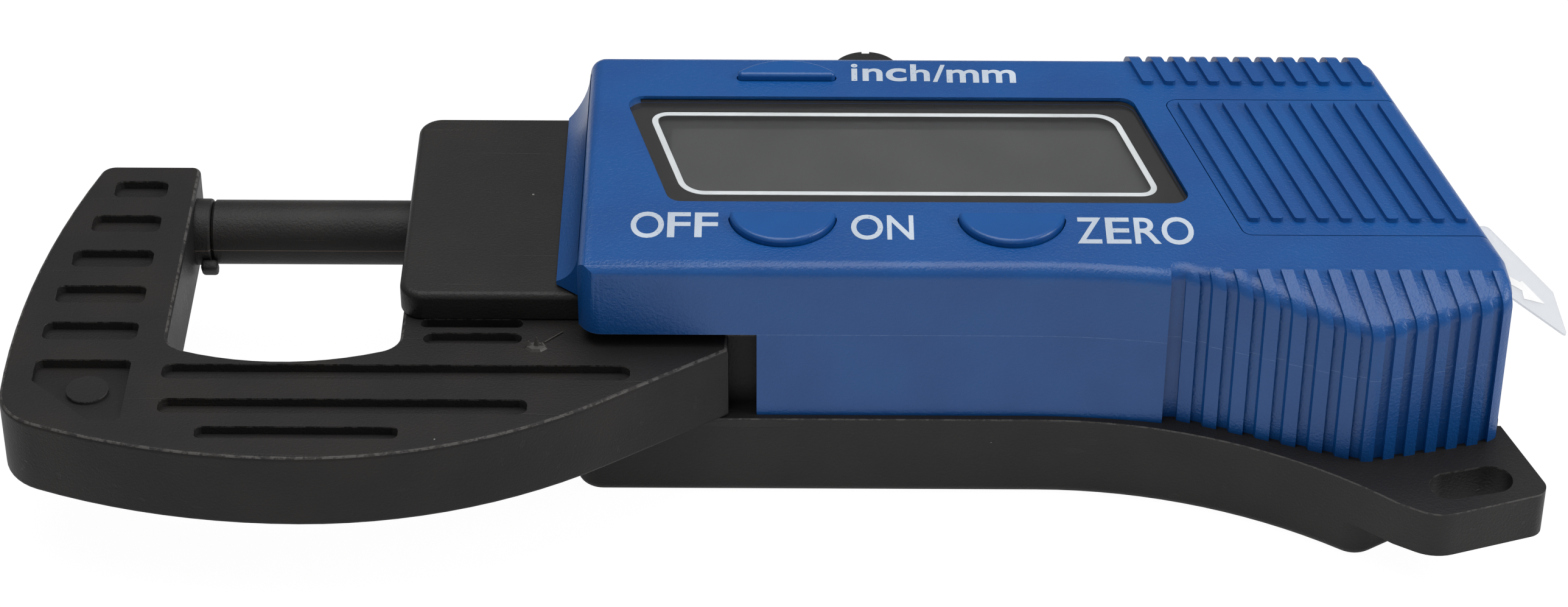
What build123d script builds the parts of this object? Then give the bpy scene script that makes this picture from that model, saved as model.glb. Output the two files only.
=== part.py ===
from build123d import *
import math
import os

# Digital outside micrometer for the pocket, 0 to 12.7 mm, lying on its back.
# X runs along the spindle, away from the anvil. Y runs across, away from the thumb bulge.
# Z is up through the display. The origin is on the flat back, under the middle of the head.

# Heights, from the face it lies on
back_height = 7.07
plate_thickness = 6.17
overall_height = 20.5
overhang_gap = 1.23

# Walls, clearances and roundings
cover_wall = 1.5
back_wall = 2.0
back_floor = 1.7
slide_gap = 0.15
bore_gap = 0.04
seat_gap = 0.05
cut_over = 1.0
top_round = 1.1
touching = 0.0001
facing_up = 0.85

# Frame plate, seen from above
throat_right = -28.3
throat_width = 17.16
throat_depth_y = -11.1
throat_corner = 1.9
arm_end_y = 13.9
arm_left = -56.95
arm_bow_radius = 79.0
arm_bow_y = -11.0
web_low_x = -34.8
web_low_y = -22.76
web_left_radius = 50.0
web_right_radius = 38.0
web_straight_x = -13.0
web_end_x = -4.1
frame_corner = 4.4
arm_far_round = 1.2
arm_tip_round = 0.7
throat_arc_rise = 1.8
frame_edge = 0.35

# Recesses moulded in the top of the frame plate
slot_depth = 0.9
slot_width = 1.9
slot_rim = 2.15
slot_round = 0.6
arm_slot_pitch = 4.58
arm_slot_count = 5
arm_slot_first_y = 10.55
arm_slot_right = -47.7
badge_depth = 0.5
badge_pin_diameter = 3.06
badge_x = -50.5
badge_y = -14.7
badge_far_y = -11.15
badge_near_y = -18.35
badge_round = 0.5
web_slots = [  # left, right, middle in Y, width
    (-45.4, -11.2, -12.65, 1.5),
    (-45.2, -18.5, -16.75, 1.45),
    (-42.2, -27.6, -19.85, 1.1),
    (-26.6, -19.3, -8.35, 1.35),
    (-26.9, -19.3, -6.5, 1.1),
    (-26.9, -19.3, -4.4, 1.1),
]

# Spindle, anvil and travel
spindle_diameter = 5.0
spindle_y = 9.4
travel = 12.7
closing_gap = 0.04
anvil_diameter = 6.0
anvil_proud = 1.25
anvil_shank = 3.4
anvil_shank_depth = 4.5
anvil_edge = 0.25
spindle_edge = 0.2
spindle_end_x = -0.4

# Carriage that the thumb tab pushes
carriage_thickness = 2.2
carriage_near_y = -6.15
carriage_far_y = 17.35
carriage_head_right = -14.6
carriage_right = 18.6
carriage_corner = 1.8
carriage_lead = 0.2
tongue_near_y = -2.0
clamp_length = 9.0
clamp_width = 5.9
clamp_room = 0.6
pin_diameter = 1.5
clamp_right = 3.6
tab_x = 6.4
tab_width = 5.6
tab_neck_width = 5.0
tab_tip_y = 26.0
tab_bottom = 13.1
tab_top = 16.5
scale_width = 6.0
scale_thickness = 0.35
rail_width = 1.3
rail_height = 1.0
near_rail_right = 30.0
far_rail_right = 22.0
spring_left = 5.0
spring_length = 14.0
spring_y = 2.0
spring_width = 3.0
spring_pocket = 0.95
scale_margin = 2.0
scale_end = 0.8
scale_near_y = 0.7
clamp_screw_inset = 2.0
spindle_pin_inset = 2.4
slab_edge = 0.5
tab_flare = 1.2
tab_groove_width = 0.6
tab_groove_pitch = 1.7
tab_groove_depth = 0.6

# Head cover, seen from above
cover_left = -15.1
cover_near_y = -9.45
cover_far_y = 19.05
cover_step_x = -2.0
bulge_start_x = 29.0
bulge_peak_x = 42.6
bulge_peak_y = -14.5
bulge_end_x = 52.85
bulge_end_y = -11.8
end_top_x = 52.65
end_top_y = -7.5
lean = math.tan(math.radians(15.0))
thumb_slope_y = -10.0
thumb_slope = math.radians(24.0)
lip_reach = 1.75
lip_rise = 4.0
lip_edge = 0.3
lip_hollow = 0.4
lip_near_y = -5.0
lip_far_y = 16.6
bulge_peak_round = 2.4
bulge_end_round = 2.0
far_right_round = 1.8
far_left_round = 1.2
shoulder_left = 18.0
shoulder_right = 28.06
shoulder_y = -10.27
near_rib_far_y = -9.5
far_rib_near_y = 14.9
near_ribs_first = -4
far_ribs_first = -1
ribs_last = 9
rib_pitch = 1.70
rib_width = 0.88
rib_height = 0.38
rib_line_x = 33.75
rib_corner = 0.25

# Display
window_left = -8.8
window_right = 30.1
window_near_y = -1.0
window_far_y = 13.1
window_corner = 1.2
window_ledge = 0.85
lens_thickness = 0.9
lens_sunk = 0.2
lcd_thickness = 1.45
lcd_left = -9.6
lcd_right = 28.4
lcd_near_y = -0.9
lcd_far_y = 12.7
zebra_width = 1.5
chip_length = 9.0
chip_width = 6.0
chip_height = 0.5
holder_rim = 0.6
holder_shelf = 1.0

# Circuit board and keys
board_thickness = 0.8
board_left = -12.8
board_right = 33.9
board_air = 0.5
board_inset = 0.35
boss_clearance = 0.3
pad_height = 0.55
button_rise = 0.6
button_travel = 0.45
button_gap = 0.1
button_slit = 0.1
button_flange = 0.4
button_edge = 0.3
button_corner = 0.35
button_side = 0.5
near_button_width = 7.8
near_button_flat_y = -2.9
near_button_depth = 3.85
far_button_near_y = 15.3
far_button_depth = 2.15
far_flange_y = 17.3
far_button_width = 7.5
off_on_x = -0.13
zero_x = 16.75
unit_x = 0.12
pad_diameter = 2.0

# Battery bay
cell_diameter = 11.6
cell_height = 5.4
cell_x = 40.3
cell_y = 3.2
cell_gap = 0.2
cell_step = 0.4
leaf_thickness = 0.2
leaf_width = 3.0
leaf_reach = 3.7
leaf_leg_x = 32.7
leaf_foot = 1.7
positive_foot_x = 29.6
positive_foot = 2.7
positive_tail = 1.0
cup_wall = 1.0
cup_height = 2.1
well_depth = 2.1
film_thickness = 0.14
film_width = 8.3
film_far_y = 1.3
film_bend_x = 52.5
film_bend_radius = 0.6
film_droop = 44.0
film_length = 7.7
film_tip_far_y = -0.1
film_tip_near_y = -5.2
film_tip_lead = 0.4
film_tip_round = 0.8
film_inner_x = 36.5
film_inner_length = 8.0
film_inner_far_y = 4.8
door_left = 32.4
door_near_y = -5.06
door_far_y = 12.95
door_corner = 0.9
door_seam = 0.08
door_thickness = 1.3
door_end_bottom = 17.6
door_rib_near_y = -3.38
door_rib_far_y = 12.3
door_ledge = 0.7
door_rail = 0.6
door_rail_height = 0.6
slit_gap = 0.15

# Back
back_near_y = -9.9
back_rim = 0.42
back_curve_x = 19.0
back_curve_radius = 38.8
back_heel_x = 42.2
back_toe_x = 53.2
back_toe_y = -10.4
lug_thickness = 3.9
lug_low_x = 47.3
lug_low_y = -21.15
lug_tip_x = 55.9
lug_tip_y = -18.2
lug_round = 3.2
lug_tip_round = 1.2
lug_start_x = 40.0
lug_leave_x = 44.5
lug_edge = 0.5
back_round = 2.0
back_edge = 0.8
lanyard_x = 50.15
lanyard_y = -17.15
lanyard_length = 6.3
lanyard_width = 3.1
lanyard_turn = 14.5

# Fasteners
screw_diameter = 1.7
screw_head_diameter = 3.2
screw_head_height = 1.0
boss_diameter = 4.0
screw_cover_bite = 1.7
screw_sunk = 0.2
board_screw_length = 2.2
cover_screw_places = [(8.3, -5.5), (25.4, 15.4), (45.5, -9.2), (42.5, 14.9)]
board_screw_places = [(24.6, -5.2), (30.6, 15.4)]
board_screw_head = 0.35

# Levels and lines worked out from the sizes above
plate_top = back_height + plate_thickness
parting_z = plate_top + overhang_gap
spindle_z = back_height + plate_thickness / 2
spindle_radius = spindle_diameter / 2
throat_left = throat_right - throat_width
anvil_face = throat_left + anvil_proud
carriage_left = throat_right - carriage_lead
carriage_bottom = plate_top + slide_gap
carriage_top = carriage_bottom + carriage_thickness
lip_bottom = carriage_top + slide_gap
roof = overall_height - cover_wall
board_bottom = carriage_top + board_air
board_top = board_bottom + board_thickness
lcd_bottom = roof - seat_gap - lcd_thickness
lens_bottom = overall_height - lens_sunk - lens_thickness
pad_top = board_top + pad_height
button_bottom = pad_top + button_travel + button_gap
flange_top = roof - seat_gap
well_floor = plate_top - well_depth
cell_bottom = well_floor + leaf_thickness
cell_top = cell_bottom + cell_height
film_bottom = cell_top + seat_gap
leaf_bottom = film_bottom + film_thickness + seat_gap
door_bottom = overall_height - door_thickness
film_near_y = film_far_y - film_width
slit_bottom = film_bottom - slit_gap
slit_top = film_bottom + film_thickness + slit_gap
screw_tip_z = roof - screw_cover_bite
tongue_far_y = spindle_y + clamp_width / 2
spindle_left = anvil_face + closing_gap
back_left = cover_left - back_rim
back_far_y = cover_far_y + back_rim


def web_y(x):
    """Near edge of the frame plate: one arc left of its lowest point, a tighter one right of it."""
    radius = web_left_radius if x < web_low_x else web_right_radius
    return web_low_y + radius - math.sqrt(radius**2 - (x - web_low_x) ** 2)


def arm_x(y):
    """Outer edge of the left arm, a long shallow arc."""
    return arm_left + arm_bow_radius - math.sqrt(arm_bow_radius**2 - (y - arm_bow_y) ** 2)


def back_y(x):
    """Near edge of the back, which bends away to the lug."""
    return back_near_y - back_curve_radius + math.sqrt(back_curve_radius**2 - (x - back_curve_x) ** 2)


def end_x(y):
    """Right end of the cover, which leans with the ribs."""
    return end_top_x - lean * (y - end_top_y)


def box_between(left, right, near, far, bottom, top):
    """Upright box given by its six limits."""
    with BuildPart() as solid:
        with BuildSketch(Plane.XY.offset(bottom)):
            with Locations(((left + right) / 2, (near + far) / 2)):
                Rectangle(right - left, far - near)
        extrude(amount=top - bottom)
    return solid.part


def prism(plan, bottom, top):
    """Upright solid of one outline between two levels."""
    with BuildPart() as solid:
        with BuildSketch(Plane.XY.offset(bottom)):
            add(plan)
        extrude(amount=top - bottom)
    return solid.part


def pillars(places, diameter, bottom, top):
    """Upright posts or holes of one size at several places."""
    with BuildPart() as solid:
        with BuildSketch(Plane.XY.offset(bottom)):
            with Locations(*places):
                Circle(diameter / 2)
        extrude(amount=top - bottom)
    return solid.part


def rod(diameter, left, right):
    """Round bar on the axis of the spindle."""
    with BuildPart() as solid:
        with BuildSketch(Plane.YZ.offset(left)):
            with Locations((spindle_y, spindle_z)):
                Circle(diameter / 2)
        extrude(amount=right - left)
    return solid.part


def leaning_panel(left, right, near, far, corner):
    """Four-sided outline with ends that lean with the ribs and rounded corners."""
    with BuildSketch() as panel:
        with BuildLine():
            Polyline(
                (left - lean * near, near),
                (right - lean * near, near),
                (right - lean * far, far),
                (left - lean * far, far),
                close=True,
            )
        make_face()
        if corner > 0:
            fillet(panel.vertices(), corner)
    return panel.sketch


def rib_lines(first, last, near, far):
    """Plan of a group of leaning ribs, numbered from the first rib of the battery door."""
    with BuildSketch() as ribs:
        for number in range(first, last + 1):
            middle = rib_line_x + number * rib_pitch
            add(leaning_panel(middle - rib_width / 2, middle + rib_width / 2, near, far, rib_corner))
    return ribs.sketch


def cover_plan(grow):
    """Outline of the head cover from above, grown or shrunk by one distance."""
    rounds = [
        ((bulge_peak_x, bulge_peak_y), bulge_peak_round),
        ((bulge_end_x, bulge_end_y), bulge_end_round),
        ((end_x(cover_far_y), cover_far_y), far_right_round),
        ((cover_left, cover_far_y), far_left_round),
    ]
    with BuildSketch() as plan:
        with BuildLine():
            Polyline(
                (cover_left, cover_near_y),
                (bulge_start_x, cover_near_y),
                (bulge_peak_x, bulge_peak_y),
                (bulge_end_x, bulge_end_y),
                (end_top_x, end_top_y),
                (end_x(cover_far_y), cover_far_y),
                (cover_left, cover_far_y),
                close=True,
            )
        make_face()
        for place, radius in rounds:
            fillet(plan.vertices().sort_by_distance(place)[0], radius)
        if grow:
            offset(amount=grow, kind=Kind.INTERSECTION)
    return plan.sketch


def cover_form(grow, rounding):
    """Outer form of the head cover with the thumb slope, grown by one distance."""
    top = overall_height + grow
    crease_y = thumb_slope_y + (grow / math.cos(thumb_slope) - grow) / math.tan(thumb_slope)
    reach = crease_y - bulge_peak_y + cover_wall * 2
    with BuildPart() as form:
        with BuildSketch(Plane.XY.offset(back_height)):
            add(cover_plan(grow))
        extrude(amount=top - back_height)
        with BuildSketch(Plane.YZ.offset(bulge_start_x)):
            with BuildLine():
                Polyline(
                    (crease_y, top),
                    (crease_y - reach, top),
                    (crease_y - reach, top - reach * math.tan(thumb_slope)),
                    close=True,
                )
            make_face()
        extrude(amount=bulge_end_x - bulge_start_x + cover_wall, mode=Mode.SUBTRACT)
        if rounding:
            top_faces = form.faces().filter_by(lambda face: face.normal_at().Z > facing_up)
            rim = ShapeList()
            for face in top_faces:
                for edge in face.edges():
                    on_crease = abs(edge.center().Y - crease_y) < touching
                    if not (on_crease and edge.bounding_box().size.Y < touching):
                        rim.append(edge)
            fillet(rim, rounding)
    return form.part


def shoulder_form():
    """Swelling of the near wall that leads to the ribs, with the same rounded top edge."""
    inner_y = cover_near_y + cover_wall
    with BuildPart() as form:
        with BuildSketch(Plane.XY.offset(back_height)):
            with BuildLine():
                TangentArc((shoulder_left, cover_near_y), (shoulder_right, shoulder_y), tangent=(1, 0))
                Polyline(
                    (shoulder_right, shoulder_y),
                    (shoulder_right, inner_y),
                    (shoulder_left, inner_y),
                    (shoulder_left, cover_near_y),
                )
            make_face()
        extrude(amount=overall_height - back_height)
        fillet(form.edges().filter_by(GeomType.CIRCLE).sort_by(Axis.Z)[-1], top_round)
    return form.part


def proud_ribs(first, last, near, far):
    """Leaning ribs that stand just proud of the head cover and follow it over its edge."""
    with BuildPart() as ribs:
        add(cover_form(rib_height, top_round + rib_height))
        with BuildSketch(Plane.XY.offset(back_height)):
            add(rib_lines(first, last, near, far))
        extrude(amount=overall_height, mode=Mode.INTERSECT)
    return ribs.part


def button_outline(width, flat_y, depth, grow):
    """Half oval: straight on the display side, curved on the other."""
    sign = 1 if depth > 0 else -1
    side = flat_y + sign * button_side
    with BuildSketch() as outline:
        with BuildLine():
            Polyline((-width / 2, side), (-width / 2, flat_y), (width / 2, flat_y), (width / 2, side))
            ThreePointArc((width / 2, side), (0, flat_y + depth), (-width / 2, side))
        make_face()
        fillet(outline.vertices().group_by(Axis.Y)[0 if sign > 0 else -1], button_corner)
        if grow:
            offset(amount=grow, kind=Kind.INTERSECTION)
    return outline.sketch


def hand_over(part, label):
    """Label a finished piece and write it out."""
    part.label = label
    export_step(part, f"parts/{label}.step")


os.makedirs("parts", exist_ok=True)
inner_plan = cover_plan(-cover_wall)

# Frame plate: the C with its two arms, and the tongue that the head is built on
corner_x = arm_x(web_y(arm_left))
corner_y = web_y(corner_x)
arm_middle_y = (arm_end_y + corner_y) / 2
left_web_x = (corner_x + web_low_x) / 2
right_web_x = (web_low_x + web_straight_x) / 2
straight_run = web_straight_x - web_low_x
web_slope = straight_run / math.sqrt(web_right_radius**2 - straight_run**2)
web_end_y = web_y(web_straight_x) + (web_end_x - web_straight_x) * web_slope
floor_y = throat_depth_y + throat_arc_rise
throat_middle = (throat_left + throat_right) / 2
rail_far = tongue_far_y + slide_gap
rail_near = tongue_near_y - slide_gap
rail_left = carriage_head_right + travel + 3 * slide_gap
rail_top = plate_top + rail_height
cup_diameter = cell_diameter + 2 * cell_gap
clamp_left = clamp_right - clamp_length
clamp_near = tongue_far_y - clamp_width
clamp_bottom = spindle_z - spindle_radius
frame_rounds = [
    ((throat_left, floor_y), throat_corner),
    ((throat_right, floor_y), throat_corner),
    ((arm_x(arm_end_y), arm_end_y), arm_far_round),
    ((throat_left, arm_end_y), arm_tip_round),
    ((corner_x, corner_y), frame_corner),
]
with BuildPart() as frame_plate:
    with BuildSketch(Plane.XY.offset(back_height)) as c_sketch:
        with BuildLine():
            ThreePointArc(
                (arm_x(arm_end_y), arm_end_y),
                (arm_x(arm_middle_y), arm_middle_y),
                (corner_x, corner_y),
            )
            ThreePointArc((corner_x, corner_y), (left_web_x, web_y(left_web_x)), (web_low_x, web_low_y))
            ThreePointArc(
                (web_low_x, web_low_y),
                (right_web_x, web_y(right_web_x)),
                (web_straight_x, web_y(web_straight_x)),
            )
            Polyline(
                (web_straight_x, web_y(web_straight_x)),
                (web_end_x, web_end_y),
                (web_end_x, arm_end_y),
                (throat_right, arm_end_y),
                (throat_right, floor_y),
            )
            ThreePointArc((throat_right, floor_y), (throat_middle, throat_depth_y), (throat_left, floor_y))
            Polyline((throat_left, floor_y), (throat_left, arm_end_y), (arm_x(arm_end_y), arm_end_y))
        make_face()
        for place, radius in frame_rounds:
            fillet(c_sketch.vertices().sort_by_distance(place)[0], radius)
    extrude(amount=plate_thickness)
    fillet(frame_plate.faces().sort_by(Axis.Z)[-1].edges(), frame_edge)
    fillet(frame_plate.faces().sort_by(Axis.Z)[0].edges(), frame_edge)
    add(prism(cover_plan(-cover_wall - slide_gap), back_height, plate_top))
    add(box_between(rail_left, near_rail_right, rail_near - rail_width, rail_near, plate_top, rail_top))
    add(box_between(rail_left, far_rail_right, rail_far, rail_far + rail_width, plate_top, rail_top))
    add(pillars([(cell_x, cell_y)], cup_diameter + 2 * cup_wall, plate_top, plate_top + cup_height))
    add(pillars([(cell_x, cell_y)], cup_diameter, well_floor, roof), mode=Mode.SUBTRACT)
    leaf_slot = leaf_width / 2 + slide_gap
    leaf_left = leaf_leg_x - slide_gap
    add(
        box_between(leaf_left, cell_x, cell_y - leaf_slot, cell_y + leaf_slot, well_floor, roof),
        mode=Mode.SUBTRACT,
    )
    add(
        box_between(
            clamp_left - clamp_room,
            clamp_right + travel + clamp_room,
            clamp_near - slide_gap,
            tongue_far_y + slide_gap,
            clamp_bottom - slide_gap,
            plate_top,
        ),
        mode=Mode.SUBTRACT,
    )
    add(rod(spindle_diameter + 2 * bore_gap, throat_right - cut_over, clamp_left), mode=Mode.SUBTRACT)
    add(
        rod(anvil_shank + 2 * bore_gap, throat_left - anvil_shank_depth, throat_left + cut_over),
        mode=Mode.SUBTRACT,
    )
    add(pillars(cover_screw_places, screw_diameter + 2 * slide_gap, 0, plate_top), mode=Mode.SUBTRACT)
    add(
        box_between(
            spring_left,
            spring_left + spring_length,
            spring_y - spring_width / 2 - slide_gap,
            spring_y + spring_width / 2 + slide_gap,
            plate_top - spring_pocket,
            plate_top,
        ),
        mode=Mode.SUBTRACT,
    )
    with BuildSketch(Plane.XY.offset(plate_top - slot_depth)):
        for number in range(arm_slot_count):
            slot_y = arm_slot_first_y - number * arm_slot_pitch
            slot_left = arm_x(slot_y) + slot_rim
            with Locations(((slot_left + arm_slot_right) / 2, slot_y)):
                RectangleRounded(arm_slot_right - slot_left, slot_width, slot_round)
        for slot_left, slot_right, slot_y, width in web_slots:
            with Locations(((slot_left + slot_right) / 2, slot_y)):
                RectangleRounded(slot_right - slot_left, width, width / 2 - seat_gap)
    extrude(amount=slot_depth, mode=Mode.SUBTRACT)
    badge_rim = arm_x(badge_y) + slot_rim
    badge_bend = (arm_slot_right - badge_rim) / 3
    with BuildSketch(Plane.XY.offset(plate_top - badge_depth)) as badge:
        with BuildLine():
            Polyline(
                (arm_slot_right, badge_far_y),
                (badge_rim, badge_far_y),
                (badge_rim, badge_near_y + 2 * badge_bend),
                (badge_rim + 2 * badge_bend, badge_near_y),
                (arm_slot_right, badge_near_y),
                close=True,
            )
        make_face()
        fillet(badge.vertices(), badge_round)
        with Locations((badge_x, badge_y)):
            Circle(badge_pin_diameter / 2, mode=Mode.SUBTRACT)
    extrude(amount=badge_depth, mode=Mode.SUBTRACT)
hand_over(frame_plate.part, "frame_plate")

# Rear cover: open tray behind the plate, with the lanyard lug on its near right corner
curve_middle = (back_curve_x + back_heel_x) / 2
back_rounds = [
    ((back_left, back_near_y), back_round),
    ((back_heel_x, back_y(back_heel_x)), back_round),
    ((back_toe_x, back_toe_y), back_round),
    ((end_x(back_far_y) + back_rim, back_far_y), far_right_round + back_rim),
    ((back_left, back_far_y), far_left_round + back_rim),
]
with BuildPart() as rear_cover:
    with BuildSketch() as tray:
        with BuildLine():
            Line((back_left, back_near_y), (back_curve_x, back_near_y))
            ThreePointArc(
                (back_curve_x, back_near_y),
                (curve_middle, back_y(curve_middle)),
                (back_heel_x, back_y(back_heel_x)),
            )
            Polyline(
                (back_heel_x, back_y(back_heel_x)),
                (back_toe_x, back_toe_y),
                (end_x(end_top_y) + back_rim, end_top_y),
                (end_x(back_far_y) + back_rim, back_far_y),
                (back_left, back_far_y),
                (back_left, back_near_y),
            )
        make_face()
        for place, radius in back_rounds:
            fillet(tray.vertices().sort_by_distance(place)[0], radius)
    extrude(amount=back_height)
    fillet(rear_cover.faces().sort_by(Axis.Z)[0].edges(), back_edge)
    with BuildSketch(Plane.XY.offset(back_height - lug_thickness)) as lug:
        lug_arc_x = (lug_start_x + lug_leave_x) / 2
        with BuildLine():
            ThreePointArc(
                (lug_start_x, back_y(lug_start_x)),
                (lug_arc_x, back_y(lug_arc_x)),
                (lug_leave_x, back_y(lug_leave_x)),
            )
            Polyline(
                (lug_leave_x, back_y(lug_leave_x)),
                (lug_low_x, lug_low_y),
                (lug_tip_x, lug_tip_y),
                (back_toe_x, back_toe_y),
                (lug_start_x, back_toe_y),
                (lug_start_x, back_y(lug_start_x)),
            )
        make_face()
        fillet(lug.vertices().sort_by_distance((lug_low_x, lug_low_y))[0], lug_round)
        fillet(lug.vertices().sort_by_distance((lug_tip_x, lug_tip_y))[0], lug_tip_round)
        with Locations((lanyard_x, lanyard_y)):
            SlotOverall(lanyard_length, lanyard_width, rotation=lanyard_turn, mode=Mode.SUBTRACT)
    extrude(amount=lug_thickness)
    add(prism(cover_plan(-back_wall), back_floor, back_height), mode=Mode.SUBTRACT)
    add(pillars(cover_screw_places, boss_diameter, back_floor, back_height))
    add(pillars(cover_screw_places, screw_diameter + 2 * slide_gap, 0, back_height), mode=Mode.SUBTRACT)
    head_pocket = screw_sunk + screw_head_height
    add(pillars(cover_screw_places, screw_head_diameter + 2 * bore_gap, 0, head_pocket), mode=Mode.SUBTRACT)
hand_over(rear_cover.part, "rear_cover")

# Head cover: moulded shell with the thumb bulge, its leaning ribs, the window and the battery opening
mouth_near = carriage_near_y - 2 * slide_gap
mouth_far = carriage_far_y + slide_gap
pull_slot_left = tab_x - tab_neck_width / 2 - 2 * slide_gap
pull_slot_right = tab_x + travel + tab_neck_width / 2 + 2 * slide_gap
neck_bottom = rail_top + seat_gap
far_hole_bottom = flange_top - button_travel - slide_gap
board_screw_tip = board_bottom + board_screw_length
ledge_left = door_left + 2 * door_rail
keys = [
    ("on_off", off_on_x, near_button_flat_y, -near_button_depth, near_button_width),
    ("zero", zero_x, near_button_flat_y, -near_button_depth, near_button_width),
    ("inch_mm", unit_x, far_button_near_y, far_button_depth, far_button_width),
]
ledge_reach = 2 * door_rail
with BuildPart() as head_cover:
    add(cover_form(0, top_round))
    add(shoulder_form())
    add(proud_ribs(near_ribs_first, ribs_last, bulge_peak_y * 2, near_rib_far_y))
    add(proud_ribs(far_ribs_first, ribs_last, far_rib_near_y, cover_far_y * 2))
    add(cover_form(-cover_wall, 0), mode=Mode.SUBTRACT)
    add(pillars(cover_screw_places, boss_diameter, plate_top, roof))
    add(pillars(board_screw_places, boss_diameter, board_top, roof))
    for ledge_near, ledge_far in (
        (door_near_y - ledge_reach, door_near_y + door_rail),
        (door_far_y - door_rail, door_far_y + ledge_reach),
    ):
        ledge_right = end_x(ledge_far) - cover_wall
        add(box_between(ledge_left, ledge_right, ledge_near, ledge_far, roof - door_ledge, roof))
    add(
        box_between(
            cover_left - cut_over,
            cover_step_x,
            2 * bulge_peak_y,
            arm_end_y + 2 * slide_gap,
            back_height,
            parting_z,
        ),
        mode=Mode.SUBTRACT,
    )
    with BuildSketch(Plane.XZ.offset(-cover_far_y)):
        with BuildLine():
            Polyline(
                (cover_left, lip_bottom + lip_rise),
                (cover_left, lip_bottom),
                (cover_left - lip_reach, lip_bottom),
                (cover_left - lip_reach, lip_bottom + lip_edge),
            )
            ThreePointArc(
                (cover_left - lip_reach, lip_bottom + lip_edge),
                (cover_left - lip_reach / 2 + lip_hollow, lip_bottom + lip_rise / 2),
                (cover_left, lip_bottom + lip_rise),
            )
        make_face()
    hood = extrude(amount=cover_far_y - cover_near_y, mode=Mode.PRIVATE)
    with BuildSketch(Plane.XY.offset(back_height)) as hood_plan:
        with BuildLine():
            Polyline(
                (cover_left, mouth_near),
                (cover_left - lip_reach, lip_near_y),
                (cover_left - lip_reach, lip_far_y),
                (cover_left, mouth_far),
                close=True,
            )
        make_face()
    hood_prism = extrude(hood_plan.sketch, amount=overall_height, mode=Mode.PRIVATE)
    add(hood & hood_prism)
    add(
        box_between(cover_left - 2 * lip_reach, cover_left + cover_wall + cut_over, mouth_near, mouth_far,
                    plate_top, lip_bottom),
        mode=Mode.SUBTRACT,
    )
    with BuildSketch(Plane.XY.offset(lens_bottom)):
        add(leaning_panel(window_left, window_right, window_near_y, window_far_y, window_corner))
    extrude(amount=cover_wall, mode=Mode.SUBTRACT)
    with BuildSketch(Plane.XY.offset(roof)):
        add(
            leaning_panel(
                window_left + window_ledge,
                window_right - window_ledge,
                window_near_y + window_ledge,
                window_far_y - window_ledge,
                window_corner - window_ledge / 2,
            )
        )
    extrude(amount=cover_wall, mode=Mode.SUBTRACT)
    with BuildSketch(Plane.XY.offset(far_hole_bottom)):
        for name, x, flat_y, depth, width in keys:
            with Locations((x, 0)):
                add(button_outline(width, flat_y, depth, button_slit))
    extrude(amount=overall_height - far_hole_bottom + cut_over, mode=Mode.SUBTRACT)
    with BuildSketch(Plane.XY.offset(roof)):
        add(leaning_panel(door_left, 2 * bulge_end_x, door_near_y, door_far_y, door_corner))
    extrude(amount=overall_height, mode=Mode.SUBTRACT)
    with BuildSketch(Plane.XY.offset(door_end_bottom - slide_gap)):
        door_end_left = end_top_x + lean * end_top_y - 2 * cover_wall
        add(leaning_panel(door_end_left, 2 * bulge_end_x, door_near_y, door_far_y, 0))
    extrude(amount=overall_height, mode=Mode.SUBTRACT)
    with BuildSketch(Plane.XY.offset(door_bottom - seat_gap)):
        add(
            leaning_panel(
                door_left + 2 * door_rail,
                2 * bulge_end_x,
                door_near_y - door_rail - slide_gap,
                door_far_y + door_rail + slide_gap,
                0,
            )
        )
    extrude(amount=door_rail_height + 2 * seat_gap, mode=Mode.SUBTRACT)
    add(
        box_between(pull_slot_left, pull_slot_right, cover_far_y - 2 * cover_wall, cover_far_y + cut_over,
                    neck_bottom - slide_gap, carriage_top + slide_gap),
        mode=Mode.SUBTRACT,
    )
    add(
        box_between(
            cell_x + cell_diameter / 2 + cut_over,
            bulge_end_x + cut_over,
            film_near_y - slide_gap,
            film_inner_far_y + slide_gap,
            slit_bottom,
            slit_top,
        ),
        mode=Mode.SUBTRACT,
    )
    add(
        pillars(cover_screw_places, screw_diameter + 2 * bore_gap, plate_top, screw_tip_z + slide_gap),
        mode=Mode.SUBTRACT,
    )
    add(
        pillars(board_screw_places, screw_diameter + 2 * bore_gap, board_top, board_screw_tip + slide_gap),
        mode=Mode.SUBTRACT,
    )
hand_over(head_cover.part, "head_cover")

# Battery door: slides out to the right on two rails, with the ribs carried across it
door_reach = 2 * bulge_end_x
with BuildPart() as battery_door:
    with BuildSketch(Plane.XY.offset(door_end_bottom)):
        add(
            leaning_panel(
                door_left + door_seam,
                door_reach,
                door_near_y + door_seam,
                door_far_y - door_seam,
                door_corner - door_seam,
            )
        )
    extrude(amount=overall_height)
    add(cover_form(0, top_round), mode=Mode.INTERSECT)
    with BuildSketch(Plane.XY.offset(door_end_bottom)):
        add(cover_plan(-cover_wall + slide_gap))
    extrude(amount=door_bottom - door_end_bottom, mode=Mode.SUBTRACT)
    for rail_start, rail_stop in (
        (door_near_y - door_rail, door_near_y + door_rail),
        (door_far_y - door_rail, door_far_y + door_rail),
    ):
        with BuildSketch(Plane.XY.offset(door_bottom)):
            add(
                leaning_panel(
                    door_left + 3 * door_rail,
                    end_top_x + lean * end_top_y - cover_wall,
                    rail_start,
                    rail_stop,
                    0,
                )
            )
        extrude(amount=door_rail_height)
    add(proud_ribs(0, ribs_last, door_rib_near_y, door_rib_far_y) & box_between(
        cover_left, door_reach, door_near_y, door_far_y, door_bottom, overall_height + rib_height))
hand_over(battery_door.part, "battery_door")

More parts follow.
